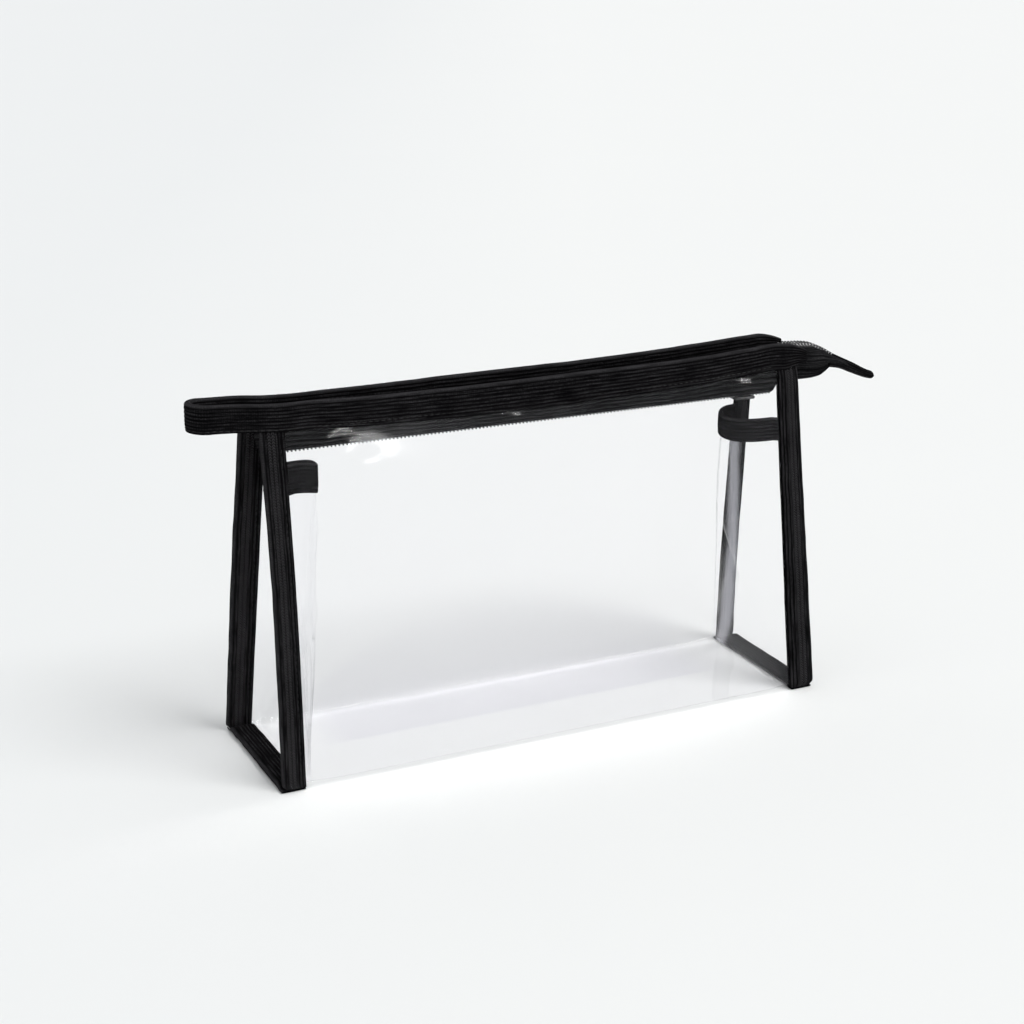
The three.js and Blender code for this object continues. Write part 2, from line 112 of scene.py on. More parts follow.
# How each upright differs from the CAD's straight 12 mm tape, in millimetres: (height, outwards, width).
UPRIGHTS = {
    (-1, 0): [(0, -1.0, 11.5), (65, -2.1, 11.0), (160, -0.3, 11.5)],
    (-1, 1): [(0, 1.0, 12.9), (65, 1.5, 13.1), (160, 1.5, 13.0)],
    (1, 0): [(0, 1.7, 14.6), (65, 1.1, 13.7), (160, 0, 12)],
    (1, 1): [(0, -0.5, 10.2), (65, -3.7, 9.3), (160, -4.8, 9.1)],
}

TOOTH_PITCH = 1.9 * MM
TOOTH_WIRE = 0.42 * MM
COIL_HALF_THICKNESS = 0.75 * MM

# Upper edge of the mouth binding along the bag, in millimetres: (x, height).
FRONT_EDGE = [(-172, 176.3), (-158, 175.9), (-142, 175.3), (-134, 174.8), (-122, 174.7),
              (-100, 173.8), (-46, 173.3),
              (5, 173.8), (82, 174.8), (112, 176.4),
              (128, 177.2), (138, 175.6), (145, 172.4), (149, 169)]
BACK_EDGE = [(-172, 176), (-150, 174.4), (-132, 172.3), (-100, 172), (-35, 172.5), (40, 173.2),
             (97, 174.9), (124, 176.3), (133, 176.5), (140, 175), (149, 171.6)]


# Width of the mouth binding along the bag, in millimetres.
MOUTH_WIDTHS = [(-172, 13.2), (-140, 12.7), (-100, 13.4), (-40, 14.5), (5, 15),
                (50, 14.2), (90, 13.7), (150, 13.6)]

# Along the bag: where the chain climbs to the tail, and where its woven halves begin to droop.
CLIMB_START, CLIMB_END = 131 * MM, 139.5 * MM
DROOP_START, DROOP_END = 134 * MM, 145 * MM
WOVEN_EDGE = 3.5 * MM  # each woven half stops this far from the middle of the chain

# Middle of the teeth along the tail, and the lower edges of the woven halves there.
TAIL_RIDGE = [(136, 173.4), (143, 172.6), (150, 172.2), (156, 171.1), (161, 169),
              (168, 165.2), (172, 163.4), (178, 160.8)]
TAIL_HEM = {-1: [(140, 163), (150, 162), (158, 162), (164, 162.6), (178, 159.5)],
            1: [(140, 152.5), (150, 151.3), (160, 150.9), (166, 151.2),
                (170, 152.1), (173, 154), (178, 158.2)]}


def smoothstep(value, low, high):
    """Eases from 0 at low to 1 at high."""
    share = np.clip((np.asarray(value, float) - low) / (high - low), 0, 1)
    return share * share * (3 - 2 * share)


def smooth_curve(points, x):
    """A smooth line through points (in millimetres), read at x metres."""
    xs, ys = np.array(points, float).T * MM
    slopes = np.gradient(ys, xs)
    k = np.clip(np.searchsorted(xs, x) - 1, 0, len(xs) - 2)
    span = xs[k + 1] - xs[k]
    t = np.clip((x - xs[k]) / span, 0, 1)
    return ((2 * t**3 - 3 * t**2 + 1) * ys[k] + (t**3 - 2 * t**2 + t) * span * slopes[k]
            + (3 * t**2 - 2 * t**3) * ys[k + 1] + (t**3 - t**2) * span * slopes[k + 1])


def half_depth(z):
    """Half of the distance between the front and back seams at a height."""
    rise = (z - BASE_PLANE) / (MOUTH_HEIGHT - BASE_PLANE)
    return BASE_HALF_DEPTH + (MOUTH_HALF_DEPTH - BASE_HALF_DEPTH) * rise


def mouth_low(facing, x):
    """Lower edge of the mouth binding."""
    return smooth_curve(FRONT_EDGE if facing < 0 else BACK_EDGE, x) - smooth_curve(MOUTH_WIDTHS, x)


def corner_top(end, row):
    """How far out the top of a corner's binding reaches, from the middle of the bag."""
    low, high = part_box(f"{end}_{row}_binding")
    inner_edge = BAG_X - high.x if end == "left" else low.x - BAG_X
    return inner_edge + BINDING_WIDTH


CORNER_TOPS = {(side, back): corner_top(end, row) for end, side in (("left", -1), ("right", 1))
               for row, back in (("front", 0), ("back", 1))}


def corner_edges(side, back, z):
    """Outer and inner edges of one corner's upright at a height, from the middle of the bag."""
    heights, outwards, widths = zip(*UPRIGHTS[side, back])
    z = np.asarray(z, float)
    outer = HALF_LENGTH + (CORNER_TOPS[side, back] - HALF_LENGTH) * z / POST_TOP
    outer = outer + smooth_curve(list(zip(heights, outwards)), z)
    return outer, outer - smooth_curve(list(zip(heights, widths)), z)


def end_edges(side, back, z):
    """The same, for any place from the front corner (back 0) to the back corner (back 1)."""
    front, rear = corner_edges(side, 0, z), corner_edges(side, 1, z)
    return tuple(a + (b - a) * back for a, b in zip(front, rear))


def chain_height(x):
    """Height of the zip chain along the bag: level, then over the right-hand end and down the tail."""
    climb = smoothstep(x, CLIMB_START, CLIMB_END)
    return COIL_HEIGHT + (smooth_curve(TAIL_RIDGE, x) - COIL_HEIGHT) * climb


def wander(seed, amplitude, longest, count=5):
    """A smooth random line: a function of distance, made of a few seeded sines."""
    chance = np.random.default_rng(seed)
    waves = [(longest / (1 + 1.7 * k), chance.uniform(0, 2 * math.pi), amplitude / (1 + k))
             for k in range(count)]
    return lambda s: sum(a * np.sin(2 * math.pi * s / length + phase) for length, phase, a in waves)


def ripples(seed, amplitude, shortest, longest, count=7):
    """A smooth random surface of two distances, made of a few seeded waves in different directions."""
    chance = np.random.default_rng(seed)
    waves = []
    for _ in range(count):
        length, turn = chance.uniform(shortest, longest), chance.uniform(0, math.pi)
        waves.append((math.cos(turn) / length, math.sin(turn) / length, chance.uniform(0, 2 * math.pi)))
    return lambda a, b: amplitude / math.sqrt(count) * sum(
        np.sin(2 * math.pi * (a * p + b * q) + phase) for p, q, phase in waves)


def crease(a, b, start, end, width):
    """1 on the line from start to end, falling away over width, and fading at its ends."""
    start, end = np.array(start, float), np.array(end, float)
    along = end - start
    length = np.linalg.norm(along)
    along /= length
    s = (a - start[0]) * along[0] + (b - start[1]) * along[1]
    off = (b - start[1]) * along[0] - (a - start[0]) * along[1]
    fade = smoothstep(s, -0.1 * length, 0.25 * length) * (1 - smoothstep(s, 0.75 * length, 1.1 * length))
    return np.exp(-np.abs(off) / width) * fade


# ---- meshes --------------------------------------------------------------------------------

def add_mesh(name, points, faces, uv=None, sharp_degrees=50):
    """A mesh about the middle of the bag. uv has a pair per point: metres along and across the weave."""
    mesh = bpy.data.meshes.new(name)
    mesh.from_pydata(np.asarray(points, float).tolist(), [], faces)
    if uv is not None:
        corners = np.zeros(len(mesh.loops), np.int32)
        mesh.loops.foreach_get("vertex_index", corners)
        layer = mesh.uv_layers.new(name="weave")
        layer.data.foreach_set("uv", np.asarray(uv, np.float32)[corners].ravel())
    mesh.shade_smooth()
    mesh.set_sharp_from_angle(angle=math.radians(sharp_degrees))
    piece = bpy.data.objects.new(name, mesh)
    piece.location = (BAG_X, 0, 0)
    bpy.context.scene.collection.objects.link(piece)
    return piece


def finish_piece(piece, material, nodes=(), body="bag"):
    """Gives the piece its material, its body and the CAD nodes that it stands for."""
    piece.data.materials.append(material)
    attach(piece, body)
    if nodes:
        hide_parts(*nodes)
    return piece


def grid_faces(rows, columns, keep=lambda row, column: True):
    """Quads over a grid of points stored row by row."""
    return [(r * columns + c, r * columns + c + 1, (r + 1) * columns + c + 1, (r + 1) * columns + c)
            for r in range(rows - 1) for c in range(columns - 1) if keep(r, c)]


def used_points(points, faces):
    """Leaves out points that no face uses."""
    used = sorted({index for face in faces for index in face})
    place = {old: new for new, old in enumerate(used)}
    return np.asarray(points)[used], [tuple(place[index] for index in face) for face in faces]


def loft_faces(rings, count):
    """Quads between rings of count points, and a face at each end."""
    faces = []
    for r in range(rings - 1):
        for k in range(count):
            a, b = r * count + k, r * count + (k + 1) % count
            faces.append((a, b, b + count, a + count))
    faces.append(tuple(range(count - 1, -1, -1)))
    faces.append(tuple((rings - 1) * count + k for k in range(count)))
    return faces


def tubes(paths, radius, sides=6):
    """Points and faces of thin round tubes along several paths, each an array of points."""
    points, faces = [], []
    for path in paths:
        path = np.asarray(path, float)
        along = np.gradient(path, axis=0)
        along /= np.linalg.norm(along, axis=1)[:, None]
        helper = np.array([0, 0, 1.0]) if np.abs(along[:, 2]).max() < 0.9 else np.array([0, 1.0, 0])
        across = np.cross(along, helper)
        across /= np.linalg.norm(across, axis=1)[:, None]
        upward = np.cross(across, along)
        first = sum(len(p) for p in points)
        turns = np.arange(sides) / sides * 2 * math.pi
        ring = (across[:, None] * np.cos(turns)[None, :, None]
                + upward[:, None] * np.sin(turns)[None, :, None])
        points.append((path[:, None] + radius * ring).reshape(-1, 3))
        faces += [tuple(first + index for index in face) for face in loft_faces(len(path), sides)]
    return np.concatenate(points), faces


# ---- ribbed tape ---------------------------------------------------------------------------

def tape_section(width, slot, stripe=None):
    """Section of a tape folded over an edge, as an array of (inwards, outwards, across) rows.
    inwards runs from the fold, outwards is to the front or outer face, across is the place on the weave.
    stripe is a share of the width, from and to, that is woven flat between the ribs."""
    half = slot / 2 + TAPE_PLY
    across = np.concatenate([np.linspace(width - 0.2 * MM, half, RIBS * 6), np.linspace(half, 0, 13)[1:]])
    turn = np.clip(across / half, 0, 1) * math.pi / 2
    drop = RIB_DEPTH * (1 - np.sqrt(np.abs(np.sin(math.pi * across * RIBS / width))))
    if stripe:
        in_stripe = (across > stripe[0] * width) & (across < stripe[1] * width)
        drop = np.where(in_stripe, 0.45 * RIB_DEPTH, drop)
    drop = drop + 0.12 * MM * np.exp(-(((across - width + STITCH_INSET) / (0.5 * MM)) ** 2))
    drop = drop + 0.3 * MM * smoothstep(across, width - 4 * MM, width)
    inwards = np.where(across > half, across, half * (1 - np.cos(turn)) + drop * np.cos(turn))
    outwards = np.where(across > half, half - drop, (half - drop) * np.sin(turn))
    edge = half - 0.3 * MM
    lip = [(width - 0.05 * MM, slot / 2 - 0.25 * MM, width), (width, edge - 0.35 * MM, width),
           (width - 0.05 * MM, edge - 0.2 * MM, width)]
    face = lip + list(zip(inwards, outwards, across))
    mirrored = [(x, -y, -v) for x, y, v in face[-2::-1]]
    inner = [(width - 4 * MM, slot / 2, width), (TAPE_PLY, slot / 2, width)]
    inside = [(x, -y, -v) for x, y, v in inner] + inner[::-1]
    return np.array(face + mirrored + inside)


def tape_piece(name, section, places, inward, outward, scale=None, squeeze=None):
    """Sweeps a tape section along places. inward and outward are unit vectors at each place.
    scale narrows the tape and squeeze flattens it, place by place."""
    places, inward, outward = (np.asarray(a, float) for a in (places, inward, outward))
    distance = run_along(places)
    scale = np.ones(len(places)) if scale is None else np.asarray(scale)
    squeeze = np.ones(len(places)) if squeeze is None else np.asarray(squeeze)
    x, y, across = section.T
    width = x.max()
    reach = x[None] * scale[:, None]
    pucker = (0.04 * np.sin(2 * math.pi * distance / STITCH_PITCH)[:, None]
              * smoothstep(x, 0.5 * width, width)[None])
    depth = y[None] * (1 + pucker) * squeeze[:, None]
    points = places[:, None] + inward[:, None] * reach[..., None] + outward[:, None] * depth[..., None]
    uv = np.stack(np.broadcast_arrays(distance[:, None], across[None]), -1)
    return add_mesh(name, points.reshape(-1, 3), loft_faces(len(places), len(section)), uv.reshape(-1, 2))


def run_along(places):
    """Distance along a line of places, from its first."""
    return np.concatenate([[0], np.cumsum(np.linalg.norm(np.diff(places, axis=0), axis=1))])


def stitches(name, rows):
    """Short thread stitches. Each row is (places on the face, outward unit vectors)."""
    paths = []
    for places, outward in rows:
        distance = run_along(places)
        for start in np.arange(STITCH_PITCH, distance[-1] - STITCH_PITCH, STITCH_PITCH):
            at = start + STITCH_LENGTH * np.linspace(0, 1, 5)
            lift = THREAD_RADIUS * np.array([-1.2, 0, 0.3, 0, -1.2])
            centre = np.stack([np.interp(at, distance, places[:, k]) for k in range(3)], 1)
            normal = np.stack([np.interp(at, distance, outward[:, k]) for k in range(3)], 1)
            paths.append(centre + normal * lift[:, None])
    points, faces = tubes(paths, THREAD_RADIUS)
    return finish_piece(add_mesh(name, points, faces), THREAD)


def both_faces(places, inward, outward, width, slot):
    """The two stitch rows of a folded tape, near its open edge."""
    depth = slot / 2 + TAPE_PLY - 0.3 * MM
    line = places + inward * (width - STITCH_INSET)
    return [(line + outward * depth, outward), (line - outward * depth, -outward)]


# ---- materials -----------------------------------------------------------------------------

def new_tree(name):
    """An empty node tree for a new material, and the material."""
    material = bpy.data.materials.new(name)
    material.use_nodes = True
    material.node_tree.nodes.clear()
    return material, material.node_tree


def node(tree, kind, inputs=None, **settings):
    """Adds a node. An input is a value, or a socket to link from."""
    made = tree.nodes.new(kind)
    for key, value in settings.items():
        setattr(made, key, value)
    for key, value in (inputs or {}).items():
        if isinstance(value, bpy.types.NodeSocket):
            tree.links.new(value, made.inputs[key])
        else:
            made.inputs[key].default_value = value
    return made


def calc(tree, operation, a, b=0.0):
    """A Math node."""
    return node(tree, "ShaderNodeMath", {0: a, 1: b}, operation=operation).outputs[0]


def blend_colours(tree, share, first, second):
    """A colour from first, at share 0, to second, at share 1."""
    mix = node(tree, "ShaderNodeMix", {"Factor": share}, data_type="RGBA")
    for socket, colour in ((mix.inputs[6], first), (mix.inputs[7], second)):
        if isinstance(colour, bpy.types.NodeSocket):
            tree.links.new(colour, socket)
        else:
            socket.default_value = (*colour, 1)
    return mix.outputs[2]


def rescale(tree, value, from_low, from_high, to_low, to_high):
    """A Map Range node."""
    return node(tree, "ShaderNodeMapRange", {"Value": value, "From Min": from_low, "From Max": from_high,
                                             "To Min": to_low, "To Max": to_high}).outputs[0]


def noise(tree, place, scale, detail=3.0):
    made = node(tree, "ShaderNodeTexNoise", {"Vector": place, "Scale": scale, "Detail": detail})
    return made.outputs["Fac"]


def object_place(tree):
    return node(tree, "ShaderNodeTexCoord").outputs["Object"]


def end_tree(tree, shader):
    node(tree, "ShaderNodeOutputMaterial", {"Surface": shader})


def clear_sheet():
    """Soft clear PVC: a faintly lavender film, its gloss broken by a soft ripple and handling marks.
    Where a sheet stores them, painted shade darkens the film and a painted highlight whitens it.
    """
    material, tree = new_tree("clear_sheet")
    place = object_place(tree)
    ripple = noise(tree, place, 45, 2)
    smudge = noise(tree, place, 22, 6)
    bump = {"Height": ripple, "Strength": 0.25, "Distance": 0.4 * MM}
    normal = node(tree, "ShaderNodeBump", bump).outputs[0]
    roughness = rescale(tree, smudge, 0.35, 0.7, 0.03, 0.13)
    gloss = node(tree, "ShaderNodeBsdfGlossy", {
        "Color": (1, 1, 1, 1), "Roughness": roughness, "Normal": normal})
    # painted shade: a stored value turns the film a darker lavender grey in an arch above the back fold
    painted_shade = node(tree, "ShaderNodeAttribute", attribute_name="painted_shade").outputs["Fac"]
    film_tint_and_painted_shade = blend_colours(tree, painted_shade, (0.997, 0.9965, 0.9985), (0.970, 0.968, 0.978))
    film = node(tree, "ShaderNodeBsdfTransparent", {"Color": film_tint_and_painted_shade})
    mirror = node(tree, "ShaderNodeFresnel", {"IOR": 1.5, "Normal": normal}).outputs[0]
    outer = calc(tree, "SUBTRACT", 1.0, node(tree, "ShaderNodeNewGeometry").outputs["Backfacing"])
    shine = rescale(tree, mirror, 0.05, 0.3, 0.15, 1.3)
    both = calc(tree, "MINIMUM", calc(tree, "MULTIPLY", calc(tree, "MULTIPLY", mirror, shine), outer), 0.9)
    surface = node(tree, "ShaderNodeMixShader", {0: both, 1: film.outputs[0], 2: gloss.outputs[0]})
    # painted highlight: where a sheet stores a value, the film is mixed with a pale diffuse white in place
    # of a reflection; the smudge noise adds only a faint milkiness of its own
    painted_highlight_white = node(tree, "ShaderNodeBsdfDiffuse", {"Color": (0.9, 0.9, 0.95, 1)})
    painted_highlight = node(tree, "ShaderNodeAttribute", attribute_name="painted_highlight").outputs["Fac"]
    smudge_and_painted_highlight = calc(tree, "ADD", rescale(tree, smudge, 0.3, 0.8, 0.001, 0.008), painted_highlight)
    whole = node(tree, "ShaderNodeMixShader", {0: smudge_and_painted_highlight, 1: surface.outputs[0], 2: painted_highlight_white.outputs[0]})
    end_tree(tree, whole.outputs[0])
    return material


def chevrons(tree, along, across, rib, pitch, slope):
    """Heights of small V-shaped yarns: one column of them per rib."""
    cell = calc(tree, "FRACT", calc(tree, "DIVIDE", across, rib))
    peak = calc(tree, "ABSOLUTE", calc(tree, "SUBTRACT", cell, 0.5))
    phase = calc(tree, "ADD", calc(tree, "DIVIDE", along, pitch), calc(tree, "MULTIPLY", peak, slope))
    wave = calc(tree, "SINE", calc(tree, "MULTIPLY", phase, 2 * math.pi))
    crown = calc(tree, "SUBTRACT", 1.0, calc(tree, "POWER", calc(tree, "MULTIPLY", peak, 2.0), 3.0))
    return calc(tree, "MULTIPLY", calc(tree, "ADD", calc(tree, "MULTIPLY", wave, 0.5), 0.5), crown)


def woven(name, rib, pitch, slope, dark, light, stripe=None):
    """Black woven tape in painted light: painted shade keeps it dark between its ribs, and painted
    highlights lighten it along them in broken streaks, on its yarns and along its fold. stripe is where a
    coarser zigzag runs, as distances on the tape's face."""
    material, tree = new_tree(name)
    uv = node(tree, "ShaderNodeUVMap", uv_map="weave").outputs[0]
    split = node(tree, "ShaderNodeSeparateXYZ", {0: uv})
    along, across = split.outputs[0], calc(tree, "ABSOLUTE", split.outputs[1])
    # painted shade and highlight: the colour stays dark in the rib valleys and grows lighter on the rib
    # crests, the yarn crowns and the zigzag
    yarn = chevrons(tree, along, across, rib, pitch, slope)
    cell = calc(tree, "FRACT", calc(tree, "DIVIDE", across, rib))
    crest = calc(tree, "ABSOLUTE", calc(tree, "SUBTRACT", calc(tree, "MULTIPLY", cell, 2.0), 1.0))
    crest = calc(tree, "SUBTRACT", 1.0, calc(tree, "POWER", crest, 1.6))
    stretched = node(tree, "ShaderNodeCombineXYZ", {
        0: calc(tree, "MULTIPLY", along, 0.06), 1: split.outputs[1]})
    streak = noise(tree, stretched.outputs[0], 1400, 3)
    plain = calc(tree, "MULTIPLY",
                 calc(tree, "MULTIPLY", crest, rescale(tree, streak, 0.32, 0.68, 0.1, 1.1)),
                 rescale(tree, yarn, 0, 1, 0.55, 1.1))
    lit = plain
    if stripe:
        inside = calc(tree, "MULTIPLY", calc(tree, "GREATER_THAN", across, stripe[0]),
                      calc(tree, "LESS_THAN", across, stripe[1]))
        zigzag = chevrons(tree, along, calc(tree, "SUBTRACT", across, stripe[0]),
                          (stripe[1] - stripe[0]) / 2,
                          1.3 * pitch, 1.6)
        lit = calc(tree, "ADD", calc(tree, "MULTIPLY", plain, calc(tree, "SUBTRACT", 1.0, inside)),
                   calc(tree, "MULTIPLY", calc(tree, "MULTIPLY", zigzag, inside), 3.0))
    place = object_place(tree)
    fade = noise(tree, place, 60, 5)
    fuzz = noise(tree, place, 2000, 2)
    height = calc(tree, "ADD", lit, calc(tree, "MULTIPLY", fuzz, 0.5))
    bump = {"Height": height, "Strength": 0.8, "Distance": 0.16 * MM}
    normal = node(tree, "ShaderNodeBump", bump).outputs[0]
    lit = calc(tree, "MULTIPLY", calc(tree, "MULTIPLY", lit, rescale(tree, fuzz, 0.35, 0.65, 0.35, 1.4)),
               rescale(tree, fade, 0.3, 0.7, 0.45, 1.15))
    # painted highlight: the tape is lighter along its fold, where light catches its edge
    fold_painted_highlight = rescale(tree, across, 0.4 * MM, 1.8 * MM, 0.5, 0)
    colour = blend_colours(tree, calc(tree, "ADD", lit, fold_painted_highlight), dark, light)
    roughness = rescale(tree, fade, 0.3, 0.75, 0.65, 0.85)
    cloth = node(tree, "ShaderNodeBsdfPrincipled", {
        "Base Color": colour, "Roughness": roughness, "Normal": normal, "Specular IOR Level": 0})
    end_tree(tree, cloth.outputs[0])
    return material


def nylon():
    """Black nylon of the zip's teeth: half glossy, slightly scuffed."""
    material, tree = new_tree("zip_coil")
    place = object_place(tree)
    scuff = noise(tree, place, 700, 4)
    bump = {"Height": scuff, "Strength": 0.3, "Distance": 0.05 * MM}
    normal = node(tree, "ShaderNodeBump", bump).outputs[0]
    colour = blend_colours(tree, scuff, (0.006, 0.006, 0.007), (0.02, 0.02, 0.022))
    plastic = node(tree, "ShaderNodeBsdfPrincipled", {
        "Base Color": colour, "Roughness": rescale(tree, scuff, 0.3, 0.7, 0.2, 0.4), "Normal": normal})
    end_tree(tree, plastic.outputs[0])
    return material


def painted_metal():
    """Black painted zinc, worn a little where the noise is high."""
    material, tree = new_tree("slider_metal")
    place = object_place(tree)
    grain = noise(tree, place, 900, 5)
    wear = rescale(tree, noise(tree, place, 260, 6), 0.62, 0.72, 0, 0.6)
    colour = blend_colours(tree, wear, (0.012, 0.012, 0.013), (0.09, 0.085, 0.08))
    bump = {"Height": grain, "Strength": 0.2, "Distance": 0.04 * MM}
    normal = node(tree, "ShaderNodeBump", bump).outputs[0]
    metal = node(tree, "ShaderNodeBsdfPrincipled", {
        "Base Color": colour, "Roughness": rescale(tree, grain, 0.3, 0.7, 0.25, 0.42), "Normal": normal,
        "Metallic": rescale(tree, wear, 0, 1, 0.15, 0.6), "Coat Weight": 0.3, "Coat Roughness": 0.15})
    end_tree(tree, metal.outputs[0])
    return material


def thread():
    """Black sewing thread."""
    material, tree = new_tree("thread")
    place = object_place(tree)
    twist = noise(tree, place, 3000, 2)
    bump = {"Height": twist, "Strength": 0.6, "Distance": 0.05 * MM}
    normal = node(tree, "ShaderNodeBump", bump).outputs[0]
    colour = blend_colours(tree, twist, (0.002, 0.002, 0.0022), (0.014, 0.014, 0.015))
    yarn = node(tree, "ShaderNodeBsdfPrincipled", {
        "Base Color": colour, "Roughness": 0.65, "Normal": normal, "Specular IOR Level": 0.15})
    end_tree(tree, yarn.outputs[0])
    return material


RIB_PITCH = BINDING_WIDTH / RIBS
POST_STRIPE = (0.27, 0.6)
# The lighter colour of each woven material is that of its painted highlights, the darker that of its painted
# shade.
TAPE_DARK, TAPE_LIGHT = (0.0012, 0.0012, 0.0014), (0.038, 0.037, 0.039)
CLEAR = clear_sheet()
RIBBED = woven("ribbed_tape", RIB_PITCH, 1.0 * MM, 0.5, TAPE_DARK, TAPE_LIGHT)
POST_TAPE = woven("ribbed_tape_with_stripe", RIB_PITCH, 1.0 * MM, 0.5, TAPE_DARK, TAPE_LIGHT,
                  [share * BINDING_WIDTH for share in POST_STRIPE])
ZIP_TAPE = woven("zip_tape", 3.2 * MM, 0.9 * MM, 2.6, (0.004, 0.004, 0.0045), (0.05, 0.05, 0.051))
COIL = nylon()
METAL = painted_metal()
THREAD = thread()


# ---- clear sheets --------------------------------------------------------------------------

def rounded_line(corners, radius, spacing):
    """A line through 2D corners with its inner corners rounded, in steps of at most spacing."""
    corners = [np.array(c, float) for c in corners]
    line = [corners[0]]
    for before, corner, after in zip(corners, corners[1:], corners[2:]):
        to_before, to_after = before - corner, after - corner
        to_before /= np.linalg.norm(to_before)
        to_after /= np.linalg.norm(to_after)
        half_angle = math.acos(np.clip(to_before @ to_after, -1, 1)) / 2
        reach = min(radius / math.tan(half_angle), 4 * MM)
        start, end = corner + to_before * reach, corner + to_after * reach
        line += [(1 - t) ** 2 * start + 2 * t * (1 - t) * corner + t**2 * end for t in np.linspace(0, 1, 11)]
    line.append(corners[-1])
    filled = [line[0]]
    for a, b in zip(line, line[1:]):
        parts = max(1, math.ceil(np.linalg.norm(b - a) / spacing))
        filled += [a + (b - a) * k / parts for k in range(1, parts + 1)]
    return np.array(filled)


def sheet_profile():
    """Section of the body sheet: front panel, base and back panel, with its outward normals."""
    mouth_y = MOUTH_HALF_DEPTH + 0.4 * MM
    fold_y = BASE_HALF_DEPTH + SHEET_OFFSET
    front = [(-mouth_y, MOUTH_TOP - 2.5 * MM), (-mouth_y, MOUTH_HEIGHT),
             (-fold_y, BASE_PLANE - SHEET_OFFSET)]
    profile = rounded_line(front + [(-y, z) for y, z in reversed(front)], FOLD_RADIUS, 2.6 * MM)
    across = np.gradient(profile, axis=0)
    normal = np.stack([across[:, 1], -across[:, 0]], 1)
    return profile, normal / np.linalg.norm(normal, axis=1)[:, None]


def back_bulge(x, z):
    """The slack at the foot of the back panel: 1 in the middle of an arch that stands on the fold."""
    reach = np.where(x < -15 * MM, 105 * MM, 150 * MM)
    top = 57 * MM * np.clip(1 - ((x + 15 * MM) / reach) ** 2, 0, 1)
    share = np.clip(z / np.maximum(top, 1 * MM), 0, 1)
    return (1 - smoothstep(share, 0.55, 1.0)) * smoothstep(top, 4 * MM, 30 * MM)


def sheet_relief(x, y, z, along, from_end):
    """How far the slack sheet stands out from its flat shape."""
    on_wall = smoothstep(z, 6 * MM, 30 * MM) * (1 - smoothstep(z, 140 * MM, 160 * MM))
    slack = smoothstep(from_end, 12 * MM, 40 * MM)
    relief = 1.2 * MM * np.sin(math.pi * np.clip(z / MOUTH_HEIGHT, 0, 1)) * slack
    relief = relief + ripples(11, 0.28 * MM, 70 * MM, 160 * MM)(x, along) * on_wall * slack
    pucker = (0.12 * MM * np.sin(2 * math.pi * along / (13 * MM))
              * np.exp(-np.maximum(from_end - 12 * MM, 0) / (7 * MM)))
    relief = relief + pucker * (from_end > 10 * MM) * on_wall
    for row, creases in ((y < 0, FRONT_CREASES), (y > 0, BACK_CREASES)):
        for depth, start, end in creases:
            fold = crease(x, z, np.array(start) * MM, np.array(end) * MM, 3 * MM)
            relief = relief + row * depth * MM * fold
    for middle_x, middle_z, reach_x, reach_z, depth in MOUTH_DENTS:
        away = ((x - middle_x * MM) / (reach_x * MM)) ** 2 + ((z - middle_z * MM) / (reach_z * MM)) ** 2
        relief = relief + (y < 0) * depth * MM * np.exp(-away)
    arch = back_bulge(x, z) * (y > 0)
    return relief + 1.6 * MM * arch * smoothstep(z, 2 * MM, 12 * MM), arch


def body_sheet():
    """One clear sheet: the front panel, the base and the back panel, with soft folds and a slack surface,
    and painted shade stored in an arch above the back fold.
    """
    profile, normal = sheet_profile()
    columns = 141
    share = np.linspace(-1, 1, columns)[None]
    y, z = (column[:, None] for column in profile.T)
    level, back = np.minimum(z, MOUTH_HEIGHT), smoothstep(y, -30 * MM, 30 * MM)
    left, right = (end_edges(side, back, level)[0] - 1.1 * MM for side in (-1, 1))
    x = -left + (left + right) * (share + 1) / 2
    y, z, along = (np.broadcast_to(a, x.shape) for a in (y, z, run_along(profile)[:, None]))
    from_end = (1 - np.abs(share)) * HALF_LENGTH
    relief, arch = sheet_relief(x, y, z, along, from_end)
    points = np.stack([x, y + relief * normal[:, :1], z + relief * normal[:, 1:]], -1)
    settle = smoothstep(from_end, 11 * MM, 30 * MM) * (1 - smoothstep(z, 1.4 * MM, 12 * MM))
    points[..., 2] -= settle * (BASE_PLANE - SHEET_OFFSET - SHEET)
    points[..., 2] = np.maximum(points[..., 2], 0.55 * SHEET)
    sheet = add_mesh("clear_body", points.reshape(-1, 3), grid_faces(len(profile), columns))
    # painted shade: strongest along the back fold, fading upwards within the arch, darkening the film there
    fade = arch * (0.35 + 0.65 * np.exp(-z / (22 * MM))) * smoothstep(from_end, 10 * MM, 50 * MM)
    put_values(sheet, "painted_shade", fade)
    thicken(sheet)
    return finish_piece(sheet, CLEAR, ["body_sheet"])


# In millimetres: creases are (depth, start, end), and dents under the mouth are
# (x, height, reach along, reach up, depth).
FRONT_CREASES = [(0.12, (40, 20), (95, 75)), (-0.1, (60, 60), (120, 118)), (0.1, (-118, 20), (-60, 110))]
BACK_CREASES = [(0.12, (-60, 25), (20, 75)), (-0.1, (20, 70), (100, 30))]
MOUTH_DENTS = [(-94, 143, 12, 8, 1.5), (-111, 156, 8, 7, 1.2), (-16, 156, 8, 6, 1.1), (116, 158, 10, 8, 1.4)]


def put_values(piece, name, values):
    """Stores one number per point of a mesh, for its material to read."""
    layer = piece.data.attributes.new(name, "FLOAT", "POINT")
    layer.data.foreach_set("value", np.asarray(values, np.float32).ravel())


def thicken(sheet):
    """Gives a sheet its real thickness, half to each side."""
    solid = sheet.modifiers.new("thickness", "SOLIDIFY")
    solid.thickness = SHEET
    solid.offset = 0


